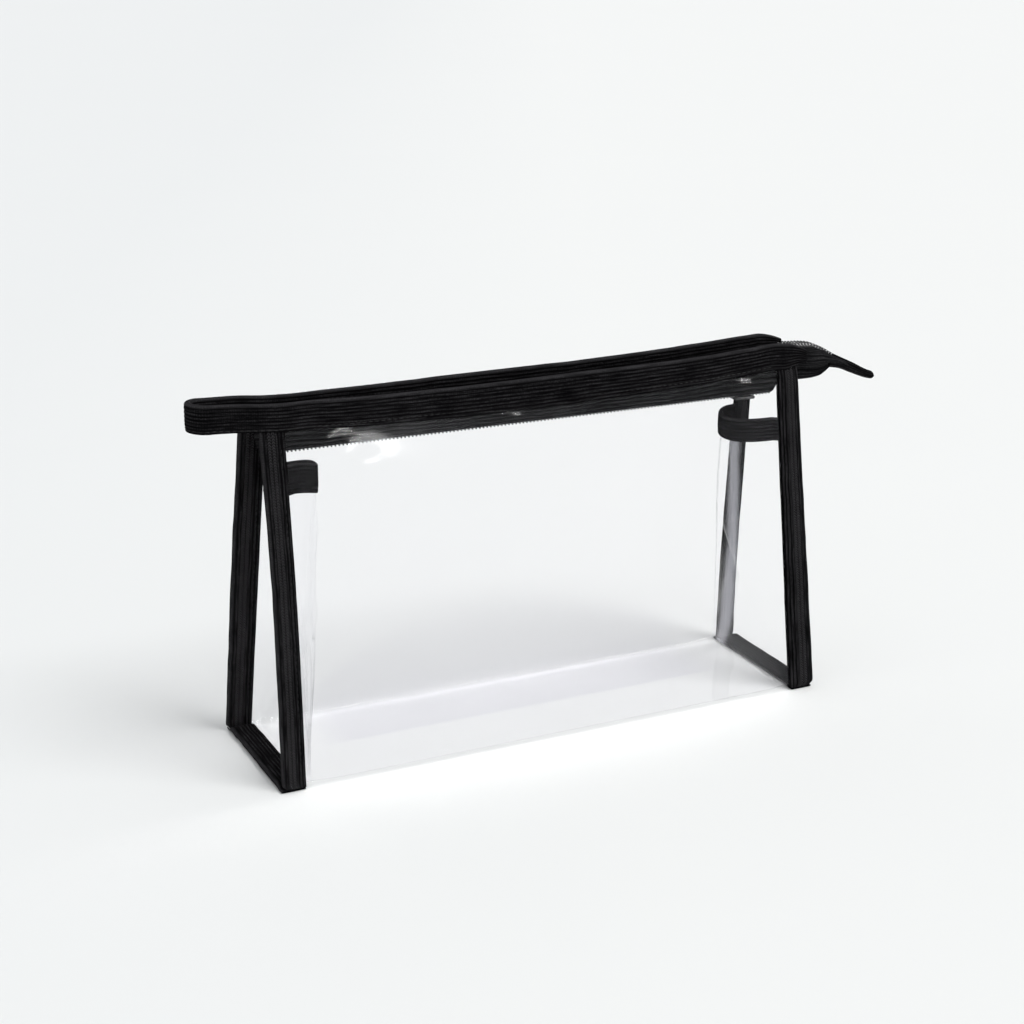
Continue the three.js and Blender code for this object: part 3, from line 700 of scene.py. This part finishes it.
def gusset_place(gusset, turn, z):
    """A gusset's surface. turn runs from 0 at the front seam to pi at the back seam."""
    rise = np.clip(z / gusset["top"], 0, 1)
    foot = np.clip((z - BASE_PLANE - SHEET_OFFSET) / gusset["top"], 0, 1)
    bow = gusset["bow"] * (1 - (1 - foot) ** gusset["power"])
    chord = half_depth(z) - SHEET_OFFSET - GUSSET_NARROWING * rise
    inner = end_edges(gusset["side"], (1 - np.cos(turn)) / 2, z)[1]
    x = gusset["side"] * (inner - GUSSET_START - bow * np.sin(turn))
    return np.stack(np.broadcast_arrays(x, -chord * np.cos(turn), z), -1)


def gusset_lift(gusset, turn):
    """How far the gusset's upper edge rises towards the front and back seams."""
    front, back = gusset["lift"]
    return front * np.clip(np.cos(turn), 0, 1) ** 2 + back * np.clip(-np.cos(turn), 0, 1) ** 2 - 1.0 * MM


def gusset_sheet(name, gusset):
    """One end sheet: a bowed wall with its flanges in the seams, creased where it has been folded flat,
    and with a painted highlight stored along one fold.
    """
    side = gusset["side"]
    foot_z = BASE_PLANE + SHEET_OFFSET
    turns = np.linspace(0, math.pi, 57)
    levels = np.concatenate([foot_z + np.linspace(0, 3, 5)[:-1] * MM,
                             np.linspace(foot_z + 3 * MM, gusset["top"] - 1.1 * MM, 58)])
    turn, z = np.meshgrid(turns, levels)
    stretch = smoothstep(z, 0.4 * gusset["top"], gusset["top"])
    wall = gusset_place(gusset, turn, z)
    wall[..., 2] += gusset_lift(gusset, turn) * stretch
    girth = turn * 0.03
    free = smoothstep(z, 4 * MM, 30 * MM) * np.sin(turn)
    waves = ripples(23 + side, 0.4 * MM, 35 * MM, 90 * MM)(girth, z) * free
    folds = sum(depth * MM * crease(turn / math.pi * 60 * MM, z, np.array(a) * MM, np.array(b) * MM, 2 * MM)
                for depth, a, b in GUSSET_CREASES)
    wall[..., 0] += side * (waves + folds * free)
    flange = []
    for facing in (-1, 1):
        outer, inner = corner_edges(side, (1 + facing) // 2, levels)
        row = np.stack([side * np.linspace(outer - 1.1 * MM, inner - 0.6 * MM, 4).T,
                        np.broadcast_to((facing * (half_depth(levels) - SHEET_OFFSET))[:, None],
                                         (len(levels), 4)),
                        np.broadcast_to(levels[:, None], (len(levels), 4))], -1)
        flange.append(row)
    sheet = np.concatenate([flange[0], wall, flange[1][:, ::-1]], 1)
    columns = sheet.shape[1]
    foot = sheet[0].copy()
    foot_outer = end_edges(side, np.clip(foot[:, 1] / BASE_HALF_DEPTH / 2 + 0.5, 0, 1), 0.0)[0]
    apron = []
    for share in (0, 0.35, 0.7, 0.93):
        row = foot.copy()
        row[:, 0] = side * (foot_outer - 1.1 * MM) * (1 - share) + foot[:, 0] * share
        apron.append(row)
    rows = np.concatenate([np.array(apron), sheet], 0)
    faces = grid_faces(len(rows), columns, lambda r, c: r >= 4 or 3 <= c < columns - 4)
    kept = np.unique(faces)
    points, faces = used_points(rows.reshape(-1, 3), faces)
    piece = add_mesh(f"{name}_end_sheet", points, faces)
    # painted highlight: a pale band up the gusset beside its fold, stored for the material
    fold_turn = 1.22 + 1.31 * np.exp(-levels / (55 * MM))
    painted_highlight_mask = np.zeros(rows.shape[:2])
    painted_highlight_mask[4:, 4:-4] = gusset["painted_highlight"] * np.exp(-((turns[None] - fold_turn[:, None]) / 0.2) ** 4)
    put_values(piece, "painted_highlight", painted_highlight_mask.ravel()[kept])
    thicken(piece)
    return finish_piece(piece, CLEAR, [f"{name}_gusset"])


GUSSET_CREASES = [(1.4, (14, 18), (44, 92)), (-1.2, (48, 16), (16, 84)), (1.0, (30, 60), (30, 128)),
                  (-0.8, (10, 96), (28, 126))]

# ---- bindings ------------------------------------------------------------------------------

def post(name, side, facing):
    """An upright binding at one corner. It stands on the flattened end of the base binding, and its
    upper end is pressed flat into the mouth binding."""
    back = (1 + facing) // 2
    _, inner_top = corner_edges(side, back, POST_TOP)
    low = float(mouth_low(facing, side * inner_top))
    top = low + POST_TUCK
    z = np.linspace(BASE_LIP, top, round((top - BASE_LIP) / RING_SPACING) + 1)
    seed = 40 + 2 * side + facing
    drift, sway = wander(seed, 0.12 * MM, 110 * MM)(z), wander(seed + 7, 0.12 * MM, 90 * MM)(z)
    fall = np.clip(1 - (z - z[0]) / FOOT_ROUND, 0, 1)
    rounding = FOOT_ROUND * (1 - np.sqrt(1 - fall**2))
    outer, inner = corner_edges(side, back, z)
    outer = outer + drift - rounding
    places = np.stack([side * outer, facing * (half_depth(z) + sway), z], 1)
    inward = np.broadcast_to([-side, 0.0, 0.0], places.shape)
    outward = np.broadcast_to([0.0, facing, 0.0], places.shape)
    section = tape_section(BINDING_WIDTH, SEAM_SLOT, POST_STRIPE)
    pressed = 1 - 0.55 * smoothstep(z, low - 2.4 * MM, low + 0.2 * MM)
    piece = tape_piece(f"{name}_trim", section, places, inward, outward,
                       (outer - inner) / BINDING_WIDTH, pressed)
    finish_piece(piece, POST_TAPE, [f"{name}_binding"])
    rows = [(line[:-4], side_out[:-4]) for line, side_out in
            both_faces(places, inward * ((outer - inner) / BINDING_WIDTH)[:, None], outward,
                       BINDING_WIDTH, SEAM_SLOT)]
    stitches(f"{name}_stitches", rows)


def base_strip(name, side):
    """The binding across one end of the base. Its ends are pressed flat under the uprights."""
    reach = BASE_HIGH.y + 1.9 * MM
    y = np.linspace(-reach, reach, round(2 * reach / RING_SPACING) + 1)
    drift = wander(60 + side, 0.12 * MM, 50 * MM)(y)
    pressed = smoothstep(np.abs(y), BASE_HIGH.y - 3.2 * MM, BASE_HIGH.y - 1.3 * MM)
    thickness = 1 - pressed * (1 - BASE_LIP / BASE_HIGH.z)
    places = np.stack([side * (HALF_LENGTH - 0.15 * MM + drift), y, BASE_PLANE * thickness], 1)
    inward = np.broadcast_to([-side, 0.0, 0.0], places.shape)
    outward = np.broadcast_to([0.0, 0.0, 1.0], places.shape)
    section = tape_section(BINDING_WIDTH, SEAM_SLOT)
    piece = tape_piece(f"{name}_trim", section, places, inward, outward, squeeze=thickness)
    finish_piece(piece, RIBBED, [f"{name}_binding"])
    line = places[4:-4] + inward[4:-4] * (BINDING_WIDTH - STITCH_INSET)
    top = line + outward[4:-4] * (SEAM_SLOT / 2 + TAPE_PLY - 0.3 * MM)
    stitches(f"{name}_stitches", [(top, outward[4:-4])])


def strap_line(gusset, drop):
    """A line round the gusset at a drop below its upper edge, with a short run into each seam.
    Returns places and how far each is into a seam, 0 to 1."""
    turn = np.concatenate([[0, 0, 0], np.linspace(0, math.pi, 61), [math.pi] * 3])
    seam = np.abs(np.concatenate([[3, 2, 1], np.zeros(61), [1, 2, 3]])) / 3
    z = np.full_like(turn, gusset["top"] - drop)
    places = gusset_place(gusset, turn, z)
    places[:, 0] += gusset["side"] * seam * (GUSSET_START - 0.1 * MM)
    outer = half_depth(z) - 0.55 * MM
    places[:, 1] += np.sign(places[:, 1]) * (outer - np.abs(places[:, 1])) * smoothstep(seam, 0, 1)
    places[:, 2] += gusset_lift(gusset, turn)
    return places, seam


def gusset_strap(name, gusset):
    """The binding over a gusset's upper edge."""
    places, seam = strap_line(gusset, 0)
    low, _ = strap_line(gusset, gusset["strap"])
    inward = low - places
    inward /= np.linalg.norm(inward, axis=1)[:, None]
    along = np.gradient(places, axis=0)
    outward = np.cross(along, inward)
    outward /= np.linalg.norm(outward, axis=1)[:, None]
    slot = SEAM_SLOT - SHEET
    section = tape_section(gusset["strap"], slot)
    piece = tape_piece(f"{name}_end_strap", section, places, inward, outward,
                       squeeze=1 - 0.55 * smoothstep(seam, 0, 1))
    finish_piece(piece, RIBBED, [f"{name}_gusset_top_binding"])
    inner = slice(3, -3)
    rows = both_faces(places[inner], inward[inner], outward[inner], gusset["strap"], slot)
    stitches(f"{name}_end_strap_stitches", rows)


def mouth_path():
    """The mouth binding seen from above: from its front right end, round the loop, to its back right end.
    Returns places (x, y) and the share of each place that belongs to the back."""
    tip = LOOP_TIP - MOUTH_SLOT / 2 - TAPE_PLY
    narrow, rounding, start, end = 7.5 * MM, 7 * MM, 136 * MM, 145 * MM
    straight = np.arange(-end, start, RING_SPACING)
    x_run = np.concatenate([-straight[::1], -np.linspace(start, tip - rounding, 20)])
    y_run = MOUTH_HALF_DEPTH + (narrow - MOUTH_HALF_DEPTH) * smoothstep(-x_run, start, tip - rounding)
    y_run = y_run + wander(81, 0.25 * MM, 120 * MM)(x_run)
    turn = np.linspace(0, math.pi, 19)[1:-1]
    y_round = y_run[-1] * np.cos(turn)
    x_round = -(tip - rounding) - rounding * np.sin(turn)
    x = np.concatenate([x_run, x_round, x_run[::-1]])
    y = np.concatenate([-y_run, -y_round, y_run[::-1]])
    back = smoothstep(y, -7 * MM, 7 * MM)
    return x, y, back


def top_binding():
    """The binding round the mouth, with the carrying loop at its left end."""
    x, y, back = mouth_path()
    top = smooth_curve(FRONT_EDGE, x) * (1 - back) + smooth_curve(BACK_EDGE, x) * back
    along = np.stack([np.gradient(x), np.gradient(y)], 1)
    along /= np.linalg.norm(along, axis=1)[:, None]
    outward = np.stack([-along[:, 1], along[:, 0], np.zeros_like(x)], 1)
    outward *= -1
    inward = np.broadcast_to([0.0, 0.0, -1.0], outward.shape)
    places = np.stack([x, y, top], 1)
    tapered = smoothstep(x, 131 * MM, 148 * MM)
    scale = smooth_curve(MOUTH_WIDTHS, x) / MOUTH_WIDTH * (1 - 0.5 * tapered)
    section = tape_section(MOUTH_WIDTH, MOUTH_SLOT)
    piece = tape_piece("top_trim", section, places, inward, outward, scale)
    finish_piece(piece, RIBBED, ["top_binding"])
    kept = slice(12, -12)
    stitches("top_stitches", both_faces(places[kept], inward[kept], outward[kept], MOUTH_WIDTH, MOUTH_SLOT))


# ---- zip -----------------------------------------------------------------------------------

def zip_tape_columns(facing, x):
    """Sections of one woven half of the zip: down in the mouth, then drooping beside the tail."""
    chain = chain_height(x)
    seam = MOUTH_HALF_DEPTH - 0.05 * MM
    ones = np.ones_like(x)
    low = mouth_low(facing, x)
    edge = WOVEN_EDGE * ones
    valley = [(seam * ones, low + 10.5 * MM), (seam * ones, low + 1.5 * MM),
              ((seam - 0.5 * MM) * ones, low - 0.25 * MM),
              (9.4 * MM * ones, low - 0.45 * MM), (8.8 * MM * ones, low * 0.75 + chain * 0.25),
              (6.6 * MM * ones, low * 0.35 + chain * 0.65),
              (4.6 * MM * ones, chain + 0.5 * MM), (edge, chain)]
    swing = (6.8 if facing < 0 else 8.2) * MM
    hem = smooth_curve(TAIL_HEM[facing], x)
    tail = []
    for share in np.linspace(0, 1, len(valley)):
        out = swing + (edge - swing) * share**2.2
        tail.append((out * ones, hem + (chain - 0.3 * MM - hem) * (1 - (1 - share) ** 1.3)))
    blend = smoothstep(x, DROOP_START, DROOP_END)
    points = []
    for (y_valley, z_valley), (y_tail, z_tail) in zip(valley, tail):
        y = y_valley + (y_tail - y_valley) * blend
        z = z_valley + (z_tail - z_valley) * blend
        points.append(np.stack([x, facing * y, z], -1))
    return np.stack(points, 1)


def zip_tape(name, facing):
    """One woven half of the zip."""
    x = np.concatenate([np.arange(CHAIN_LEFT, 120 * MM, 3 * MM),
                        np.arange(120 * MM, TAIL_END + 8 * MM, 0.75 * MM)])
    points = zip_tape_columns(facing, x)
    columns = points.shape[1]
    across = np.concatenate([[0], np.cumsum(np.linalg.norm(np.diff(points[0], axis=0), axis=1))])
    uv = np.stack(np.broadcast_arrays(x[:, None], across[None]), -1)
    sag = (wander(90 + facing, 0.35 * MM, 60 * MM)(x)[:, None]
           * np.sin(np.linspace(0, math.pi, columns))[None])
    points[..., 2] += sag
    piece = add_mesh(f"zip_tape_{name}", points.reshape(-1, 3), grid_faces(len(x), columns),
                     uv.reshape(-1, 2), 180)
    solid = piece.modifiers.new("thickness", "SOLIDIFY")
    solid.thickness = 0.5 * MM
    solid.offset = 0
    smooth = piece.modifiers.new("smooth", "SUBSURF")
    smooth.levels = smooth.render_levels = 1
    return finish_piece(piece, ZIP_TAPE, [f"zipper_tape_{name}"])


def tooth_places(start):
    """Teeth of one row: x, height and lean of each, evenly spaced along the chain as it climbs."""
    x = np.arange(CHAIN_LEFT, TAIL_END, 0.1 * MM)
    z = chain_height(x)
    along = np.concatenate([[0], np.cumsum(np.hypot(np.diff(x), np.diff(z)))])
    stops = np.arange(start, along[-1] - 0.5 * MM, TOOTH_PITCH)
    lean = np.arctan2(np.gradient(z), np.gradient(x))
    return (np.interp(stops, along, values) for values in (x, z, lean))


def coil(name, facing):
    """One row of teeth: nylon wire looped over the tape's edge, with a rounded head on each loop."""
    half_pitch = TOOTH_PITCH / 2 if facing > 0 else 0
    h = COIL_HALF_THICKNESS
    loop = np.array([(0.45, 3.45, 0.2 * MM / h), (0.38, 3.1, 0.95), (0.2, 2.0, 1.0), (0.08, 1.2, 0.95),
                     (0, 0.85, 0.5), (0, 0.8, 0), (0, 0.85, -0.5), (-0.08, 1.2, -0.95), (-0.2, 2.0, -1.0),
                     (-0.38, 3.1, -0.95), (-0.45, 3.45, -0.2 * MM / h)])
    paths = []
    run, rise = loop[:, 0] * MM, loop[:, 2] * h
    for x, level, lean in zip(*tooth_places(half_pitch + 1 * MM)):
        ahead = run * math.cos(lean) - rise * math.sin(lean)
        above = run * math.sin(lean) + rise * math.cos(lean)
        paths.append(np.stack([x + ahead, facing * loop[:, 1] * MM, level + above], 1))
    points, faces = tubes(paths, TOOTH_WIRE, 6)
    piece = add_mesh(f"zip_teeth_{name}", points, faces)
    return finish_piece(piece, COIL, [f"zipper_coil_{name}"])


def bar_tack(name):
    """A bar of threads sewn over both rows of teeth."""
    low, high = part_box(f"{name}_bar_tack")
    middle = (low.x + high.x) / 2 - BAG_X
    y = np.linspace(-3.8, 3.8, 13) * MM
    crown = (high.z - 0.35 * MM) - 1.4 * MM * (np.abs(y) / (3.8 * MM)) ** 4
    paths = []
    for k in range(9):
        x = middle + (k - 4) * 0.24 * MM
        lean = 0.12 * MM * (-1) ** k * np.sign(y)
        paths.append(np.stack([x + lean, y, crown + 0.12 * MM * (k % 2)], 1))
    points, faces = tubes(paths, 0.17 * MM)
    return finish_piece(add_mesh(f"{name}_tack", points, faces), THREAD, [f"{name}_bar_tack"])


TAB_TAPE = 7.4 * MM
TAB_WIDTHS = [(165, 8), (170, 7.4), (174, 6.4), (182, 5.9), (193, 4.5), (197, 3.9)]
TAB_MIDDLE = [(165, 162.8), (170, 161.7), (174, 160.4), (182, 157), (193, 152.3), (197, 151.2)]


def end_tab():
    """The folded tab over the tail of the zip: it narrows, droops and ends rounded."""
    start, end = TAB_LOW.x - BAG_X, TAB_HIGH.x - BAG_X
    share = np.linspace(0, 1, 40)
    x = start + (end - start) * share
    rounded = np.sqrt(np.clip(1 - np.clip((share - 0.93) / 0.07, 0, 1) ** 2, 0.08, 1))
    width = smooth_curve(TAB_WIDTHS, x) * rounded
    middle = smooth_curve(TAB_MIDDLE, x)
    section = tape_section(TAB_TAPE, 0.6 * MM)
    places = np.stack([x, np.zeros_like(x), middle - width / 2], 1)
    inward = np.broadcast_to([0.0, 0.0, 1.0], places.shape)
    outward = np.broadcast_to([0.0, -1.0, 0.0], places.shape)
    piece = tape_piece("zip_end_tab", section, places, inward, outward, width / TAB_TAPE)
    return finish_piece(piece, RIBBED, ["zipper_end_tab"])


# ---- slider --------------------------------------------------------------------------------

def plate(name, outlines, thickness, bevel):
    """Points and faces of a flat plate with rounded edges. The first outline is its rim, the rest holes."""
    curve = bpy.data.curves.new(name, "CURVE")
    curve.dimensions = "2D"
    curve.fill_mode = "BOTH"
    curve.extrude = thickness / 2 - bevel
    curve.bevel_depth = bevel
    curve.bevel_resolution = 2
    curve.offset = -bevel
    for outline in outlines:
        spline = curve.splines.new("POLY")
        spline.points.add(len(outline) - 1)
        for point, (x, y) in zip(spline.points, outline):
            point.co = (x, y, 0, 1)
        spline.use_cyclic_u = True
    maker = bpy.data.objects.new(name, curve)
    mesh = bpy.data.meshes.new_from_object(maker)
    points = np.array([v.co for v in mesh.vertices]).reshape(-1, 3)
    faces = [tuple(p.vertices) for p in mesh.polygons]
    bpy.data.objects.remove(maker)
    bpy.data.curves.remove(curve)
    bpy.data.meshes.remove(mesh)
    return points, faces


def join_shapes(shapes):
    """One list of points and faces from several."""
    points, faces = [], []
    for shape_points, shape_faces in shapes:
        first = sum(len(p) for p in points)
        points.append(np.asarray(shape_points))
        faces += [tuple(first + index for index in face) for face in shape_faces]
    return np.concatenate(points), faces


def arc_points(centre, radii, start, end, count):
    turns = np.radians(np.linspace(start, end, count))
    return [(centre[0] + radii[0] * math.cos(t), centre[1] + radii[1] * math.sin(t)) for t in turns]


def slider_outline(length, front, rear, radius):
    """A plate seen from above: wide at its front, narrower behind, with round corners."""
    x = length / 2
    return (arc_points((x - radius, front / 2 - radius), (radius, radius), 0, 90, 6)
            + arc_points((-x + radius, rear / 2 - radius), (radius, radius), 90, 180, 6)
            + arc_points((-x + radius, -rear / 2 + radius), (radius, radius), 180, 270, 6)
            + arc_points((x - radius, -front / 2 + radius), (radius, radius), 270, 360, 6))


def swept_bar(path, width, thickness):
    """A bar of rounded section along a path in the XZ plane."""
    path = np.asarray(path, float)
    along = np.gradient(path, axis=0)
    along /= np.linalg.norm(along, axis=1)[:, None]
    turns = np.arange(12) / 12 * 2 * math.pi
    ring = np.stack([np.sign(np.cos(turns)) * np.abs(np.cos(turns)) ** 0.5 * width / 2,
                     np.sign(np.sin(turns)) * np.abs(np.sin(turns)) ** 0.5 * thickness / 2], 1)
    points = [(p[0] - a[1] * t, w, p[1] + a[0] * t) for p, a in zip(path, along) for w, t in ring]
    return np.array(points), loft_faces(len(path), len(ring))


def place_on_slider(shape, z):
    points, faces = shape
    return points + np.array([SLIDER_X, 0, z]), faces


def slider():
    """The slider: two plates with turned-in flanges, a post and the bridge for the puller."""
    inside = 1.5 * MM
    thick = 0.9 * MM
    outline = slider_outline(12 * MM, 9.2 * MM, 7.6 * MM, 2 * MM)
    shapes = []
    for facing in (-1, 1):
        shapes.append(place_on_slider(plate("plate", [outline], thick, 0.25 * MM),
                                      COIL_HEIGHT + facing * (inside + thick / 2)))
        for side in (-1, 1):
            rail = [(-5 * MM, 0), (5 * MM, 0)]
            points, faces = swept_bar(rail, 0.6 * MM, 0.7 * MM)
            lean = points[:, 0] * 0.08
            points = (points + np.array([0, side * 3.95 * MM, 0])
                      + np.stack([0 * lean, side * lean, 0 * lean], 1))
            shapes.append(place_on_slider((points, faces), COIL_HEIGHT + facing * (inside - 0.1 * MM)))
    post_points, post_faces = swept_bar([(0, -inside - 0.3 * MM), (0, inside + 0.3 * MM)],
                                        0.7 * MM, 2.4 * MM)
    shapes.append(place_on_slider((post_points + np.array([4 * MM, 0, 0]), post_faces), COIL_HEIGHT))
    arch = [(-2.1, -0.2), (-2.1, 0.9), (-1.8, 1.75), (-1.1, 2.2), (0, 2.3),
            (1.1, 2.2), (1.8, 1.75), (2.1, 0.9), (2.1, -0.2)]
    bridge_points, bridge_faces = swept_bar(np.array(arch) * MM, 1.8 * MM, 0.75 * MM)
    shapes.append(place_on_slider((bridge_points, bridge_faces), COIL_HEIGHT + inside + thick))
    points, faces = join_shapes(shapes)
    return finish_piece(add_mesh("slider", points, faces, sharp_degrees=60), METAL,
                        ["slider_body"], "slider")


def puller():
    """The puller: a slim plate with an eye for the bridge, a raised rim and a hole at its end."""
    low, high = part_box("pull_tab")
    length, width = high.x - low.x, high.y - low.y
    middle_x, middle_z = (low.x + high.x) / 2 - BAG_X, (low.z + high.z) / 2
    outline = slider_outline(length, width * 0.86, width, 1.9 * MM)
    eye_right = length / 2 - 1 * MM
    eye = [(eye_right, -1.5 * MM), (eye_right, 1.5 * MM),
           (eye_right - 3.7 * MM, 1.5 * MM), (eye_right - 3.7 * MM, -1.5 * MM)]
    hole = arc_points((-length / 2 + 3 * MM, 0), (1.3 * MM, 1.3 * MM), 0, 345, 24)
    body = plate("puller_plate", [outline, eye, hole], 0.72 * MM, 0.16 * MM)
    window = arc_points((-2.4 * MM, 0), (6.6 * MM, 1.55 * MM), 0, 352, 45)
    rim_outer = slider_outline(length - 0.2 * MM, width * 0.84, width - 0.2 * MM, 1.9 * MM)
    rim_inner = slider_outline(length - 1.7 * MM, width * 0.84 - 1.5 * MM, width - 1.7 * MM, 1.2 * MM)
    rim = plate("puller_rim", [rim_outer, rim_inner], 0.98 * MM, 0.14 * MM)
    boss = plate("puller_boss", [window], 0.9 * MM, 0.1 * MM)
    points, faces = join_shapes([body, rim, boss])
    points = points + np.array([middle_x, 0, middle_z])
    return finish_piece(add_mesh("zip_puller", points, faces, sharp_degrees=60), METAL,
                        ["pull_tab"], "puller")


# ---- stage ---------------------------------------------------------------------------------

LENS = 66.96
CAMERA_PLACE = Vector((-0.406, -0.7685, 0.4017)) + Vector((BAG_X, 0, 0))
CAMERA_YAW, CAMERA_DOWN, CAMERA_ROLL = (math.radians(a) for a in (27.165, 18.988, 1.245))


def camera():
    """The camera: it looks at the bag from the front left, slightly from above."""
    data = bpy.data.cameras.new("camera")
    data.lens = LENS
    data.clip_start, data.clip_end = 0.05, 100
    made = bpy.data.objects.new("camera", data)
    bpy.context.scene.collection.objects.link(made)
    forward = Vector((math.sin(CAMERA_YAW) * math.cos(CAMERA_DOWN),
                      math.cos(CAMERA_YAW) * math.cos(CAMERA_DOWN),
                      -math.sin(CAMERA_DOWN)))
    level = Vector((math.cos(CAMERA_YAW), -math.sin(CAMERA_YAW), 0))
    upward = level.cross(forward)
    right = math.cos(CAMERA_ROLL) * level + math.sin(CAMERA_ROLL) * upward
    top = math.cos(CAMERA_ROLL) * upward - math.sin(CAMERA_ROLL) * level
    turn = Matrix((right, top, -forward)).transposed().to_4x4()
    made.matrix_world = Matrix.Translation(CAMERA_PLACE) @ turn
    bpy.context.scene.camera = made


def floor():
    """A plain pale floor without an edge in sight, a little lighter towards the right: painted light,
    as if lit more strongly from that side.
    """
    material, tree = new_tree("floor_paint")
    place = object_place(tree)
    split = node(tree, "ShaderNodeSeparateXYZ", {0: place})
    # painted light: the floor colour rises from left to right across the view
    sideways = calc(tree, "SUBTRACT", calc(tree, "MULTIPLY", split.outputs[0], math.cos(CAMERA_YAW)),
                    calc(tree, "MULTIPLY", split.outputs[1], math.sin(CAMERA_YAW)))
    share = rescale(tree, sideways, -0.45, 0.05, 0, 0.9)
    share = calc(tree, "ADD", share, calc(tree, "MULTIPLY", noise(tree, place, 3, 3), 0.1))
    colour = blend_colours(tree, share, (0.775, 0.788, 0.785), (0.83, 0.838, 0.825))
    paint = node(tree, "ShaderNodeBsdfPrincipled", {
        "Base Color": colour, "Roughness": 0.9, "Specular IOR Level": 0.05})
    end_tree(tree, paint.outputs[0])
    mesh = bpy.data.meshes.new("floor")
    reach = 30.0
    corners = [(-reach, -reach, 0), (reach, -reach, 0), (reach, reach, 0), (-reach, reach, 0)]
    mesh.from_pydata(corners, [], [(0, 1, 2, 3)])
    mesh.materials.append(material)
    made = bpy.data.objects.new("floor", mesh)
    made.location.z = -0.2 * MM
    bpy.context.scene.collection.objects.link(made)


def world(light, seen):
    """An even pale surround: one level for light, one for what is seen directly, and for reflections
    a studio that is dark low down and bright overhead."""
    made = bpy.data.worlds.new("studio")
    bpy.context.scene.world = made
    made.use_nodes = True
    tree = made.node_tree
    tree.nodes.clear()
    lighting = node(tree, "ShaderNodeBackground", {"Color": (0.97, 0.98, 1, 1), "Strength": light})
    backdrop = node(tree, "ShaderNodeBackground", {"Color": (1, 1, 1, 1), "Strength": seen})
    around = node(tree, "ShaderNodeTexCoord").outputs["Generated"]
    direction = node(tree, "ShaderNodeSeparateXYZ", {0: around})
    studio = rescale(tree, direction.outputs[2], 0, 0.6, 0.3, 1.1)
    mirrored = node(tree, "ShaderNodeBackground", {"Color": (1, 1, 1, 1), "Strength": studio})
    path = node(tree, "ShaderNodeLightPath")
    direct = node(tree, "ShaderNodeMixShader", {0: path.outputs["Is Camera Ray"], 1: lighting.outputs[0],
                                                2: backdrop.outputs[0]})
    mix = node(tree, "ShaderNodeMixShader", {0: path.outputs["Is Glossy Ray"], 1: direct.outputs[0],
                                             2: mirrored.outputs[0]})
    node(tree, "ShaderNodeOutputWorld", {"Surface": mix.outputs[0]})


def sun(strength, direction, softness):
    """The key light: even over the whole floor, with soft shadows."""
    data = bpy.data.lights.new("key", "SUN")
    data.energy = strength
    data.angle = math.radians(softness)
    made = bpy.data.objects.new("key", data)
    made.rotation_euler = Vector(direction).to_track_quat("-Z", "Y").to_euler()
    bpy.context.scene.collection.objects.link(made)


def softbox(name, place, target, size, power):
    """A panel of light that is seen only as a reflection on the clear sheets."""
    data = bpy.data.lights.new(name, "AREA")
    data.shape = "RECTANGLE"
    data.size, data.size_y = size
    data.energy = power
    made = bpy.data.objects.new(name, data)
    made.visible_diffuse = False
    made.location = place
    made.rotation_euler = (Vector(target) - Vector(place)).to_track_quat("-Z", "Y").to_euler()
    bpy.context.scene.collection.objects.link(made)
    return made


# ---- the bag -------------------------------------------------------------------------------

body_sheet()
for end, sheet_shape in GUSSETS.items():
    gusset_sheet(end, sheet_shape)
    gusset_strap(end, sheet_shape)
    base_strip(f"{end}_base", sheet_shape["side"])
    for row, facing_way in (("front", -1), ("back", 1)):
        post(f"{end}_{row}", sheet_shape["side"], facing_way)
top_binding()
for row, facing_way in (("front", -1), ("back", 1)):
    zip_tape(row, facing_way)
    coil(row, facing_way)
bar_tack("left")
bar_tack("right")
end_tab()
slider()
puller()

camera()
floor()
world(light=0.68, seen=0.93)
sun(1.68, (-0.4, 0.5, -1), 34)
softbox("front", (0.54, -1.37, 0.36), (-0.1, 0, 0.14), (0.3, 0.16), 6)
softbox("above", (0.45, -0.45, 1.1), (0, 0, 0), (1.2, 0.7), 50)
scene = bpy.context.scene
scene.view_settings.view_transform = "Standard"
scene.cycles.transparent_max_bounces = 32
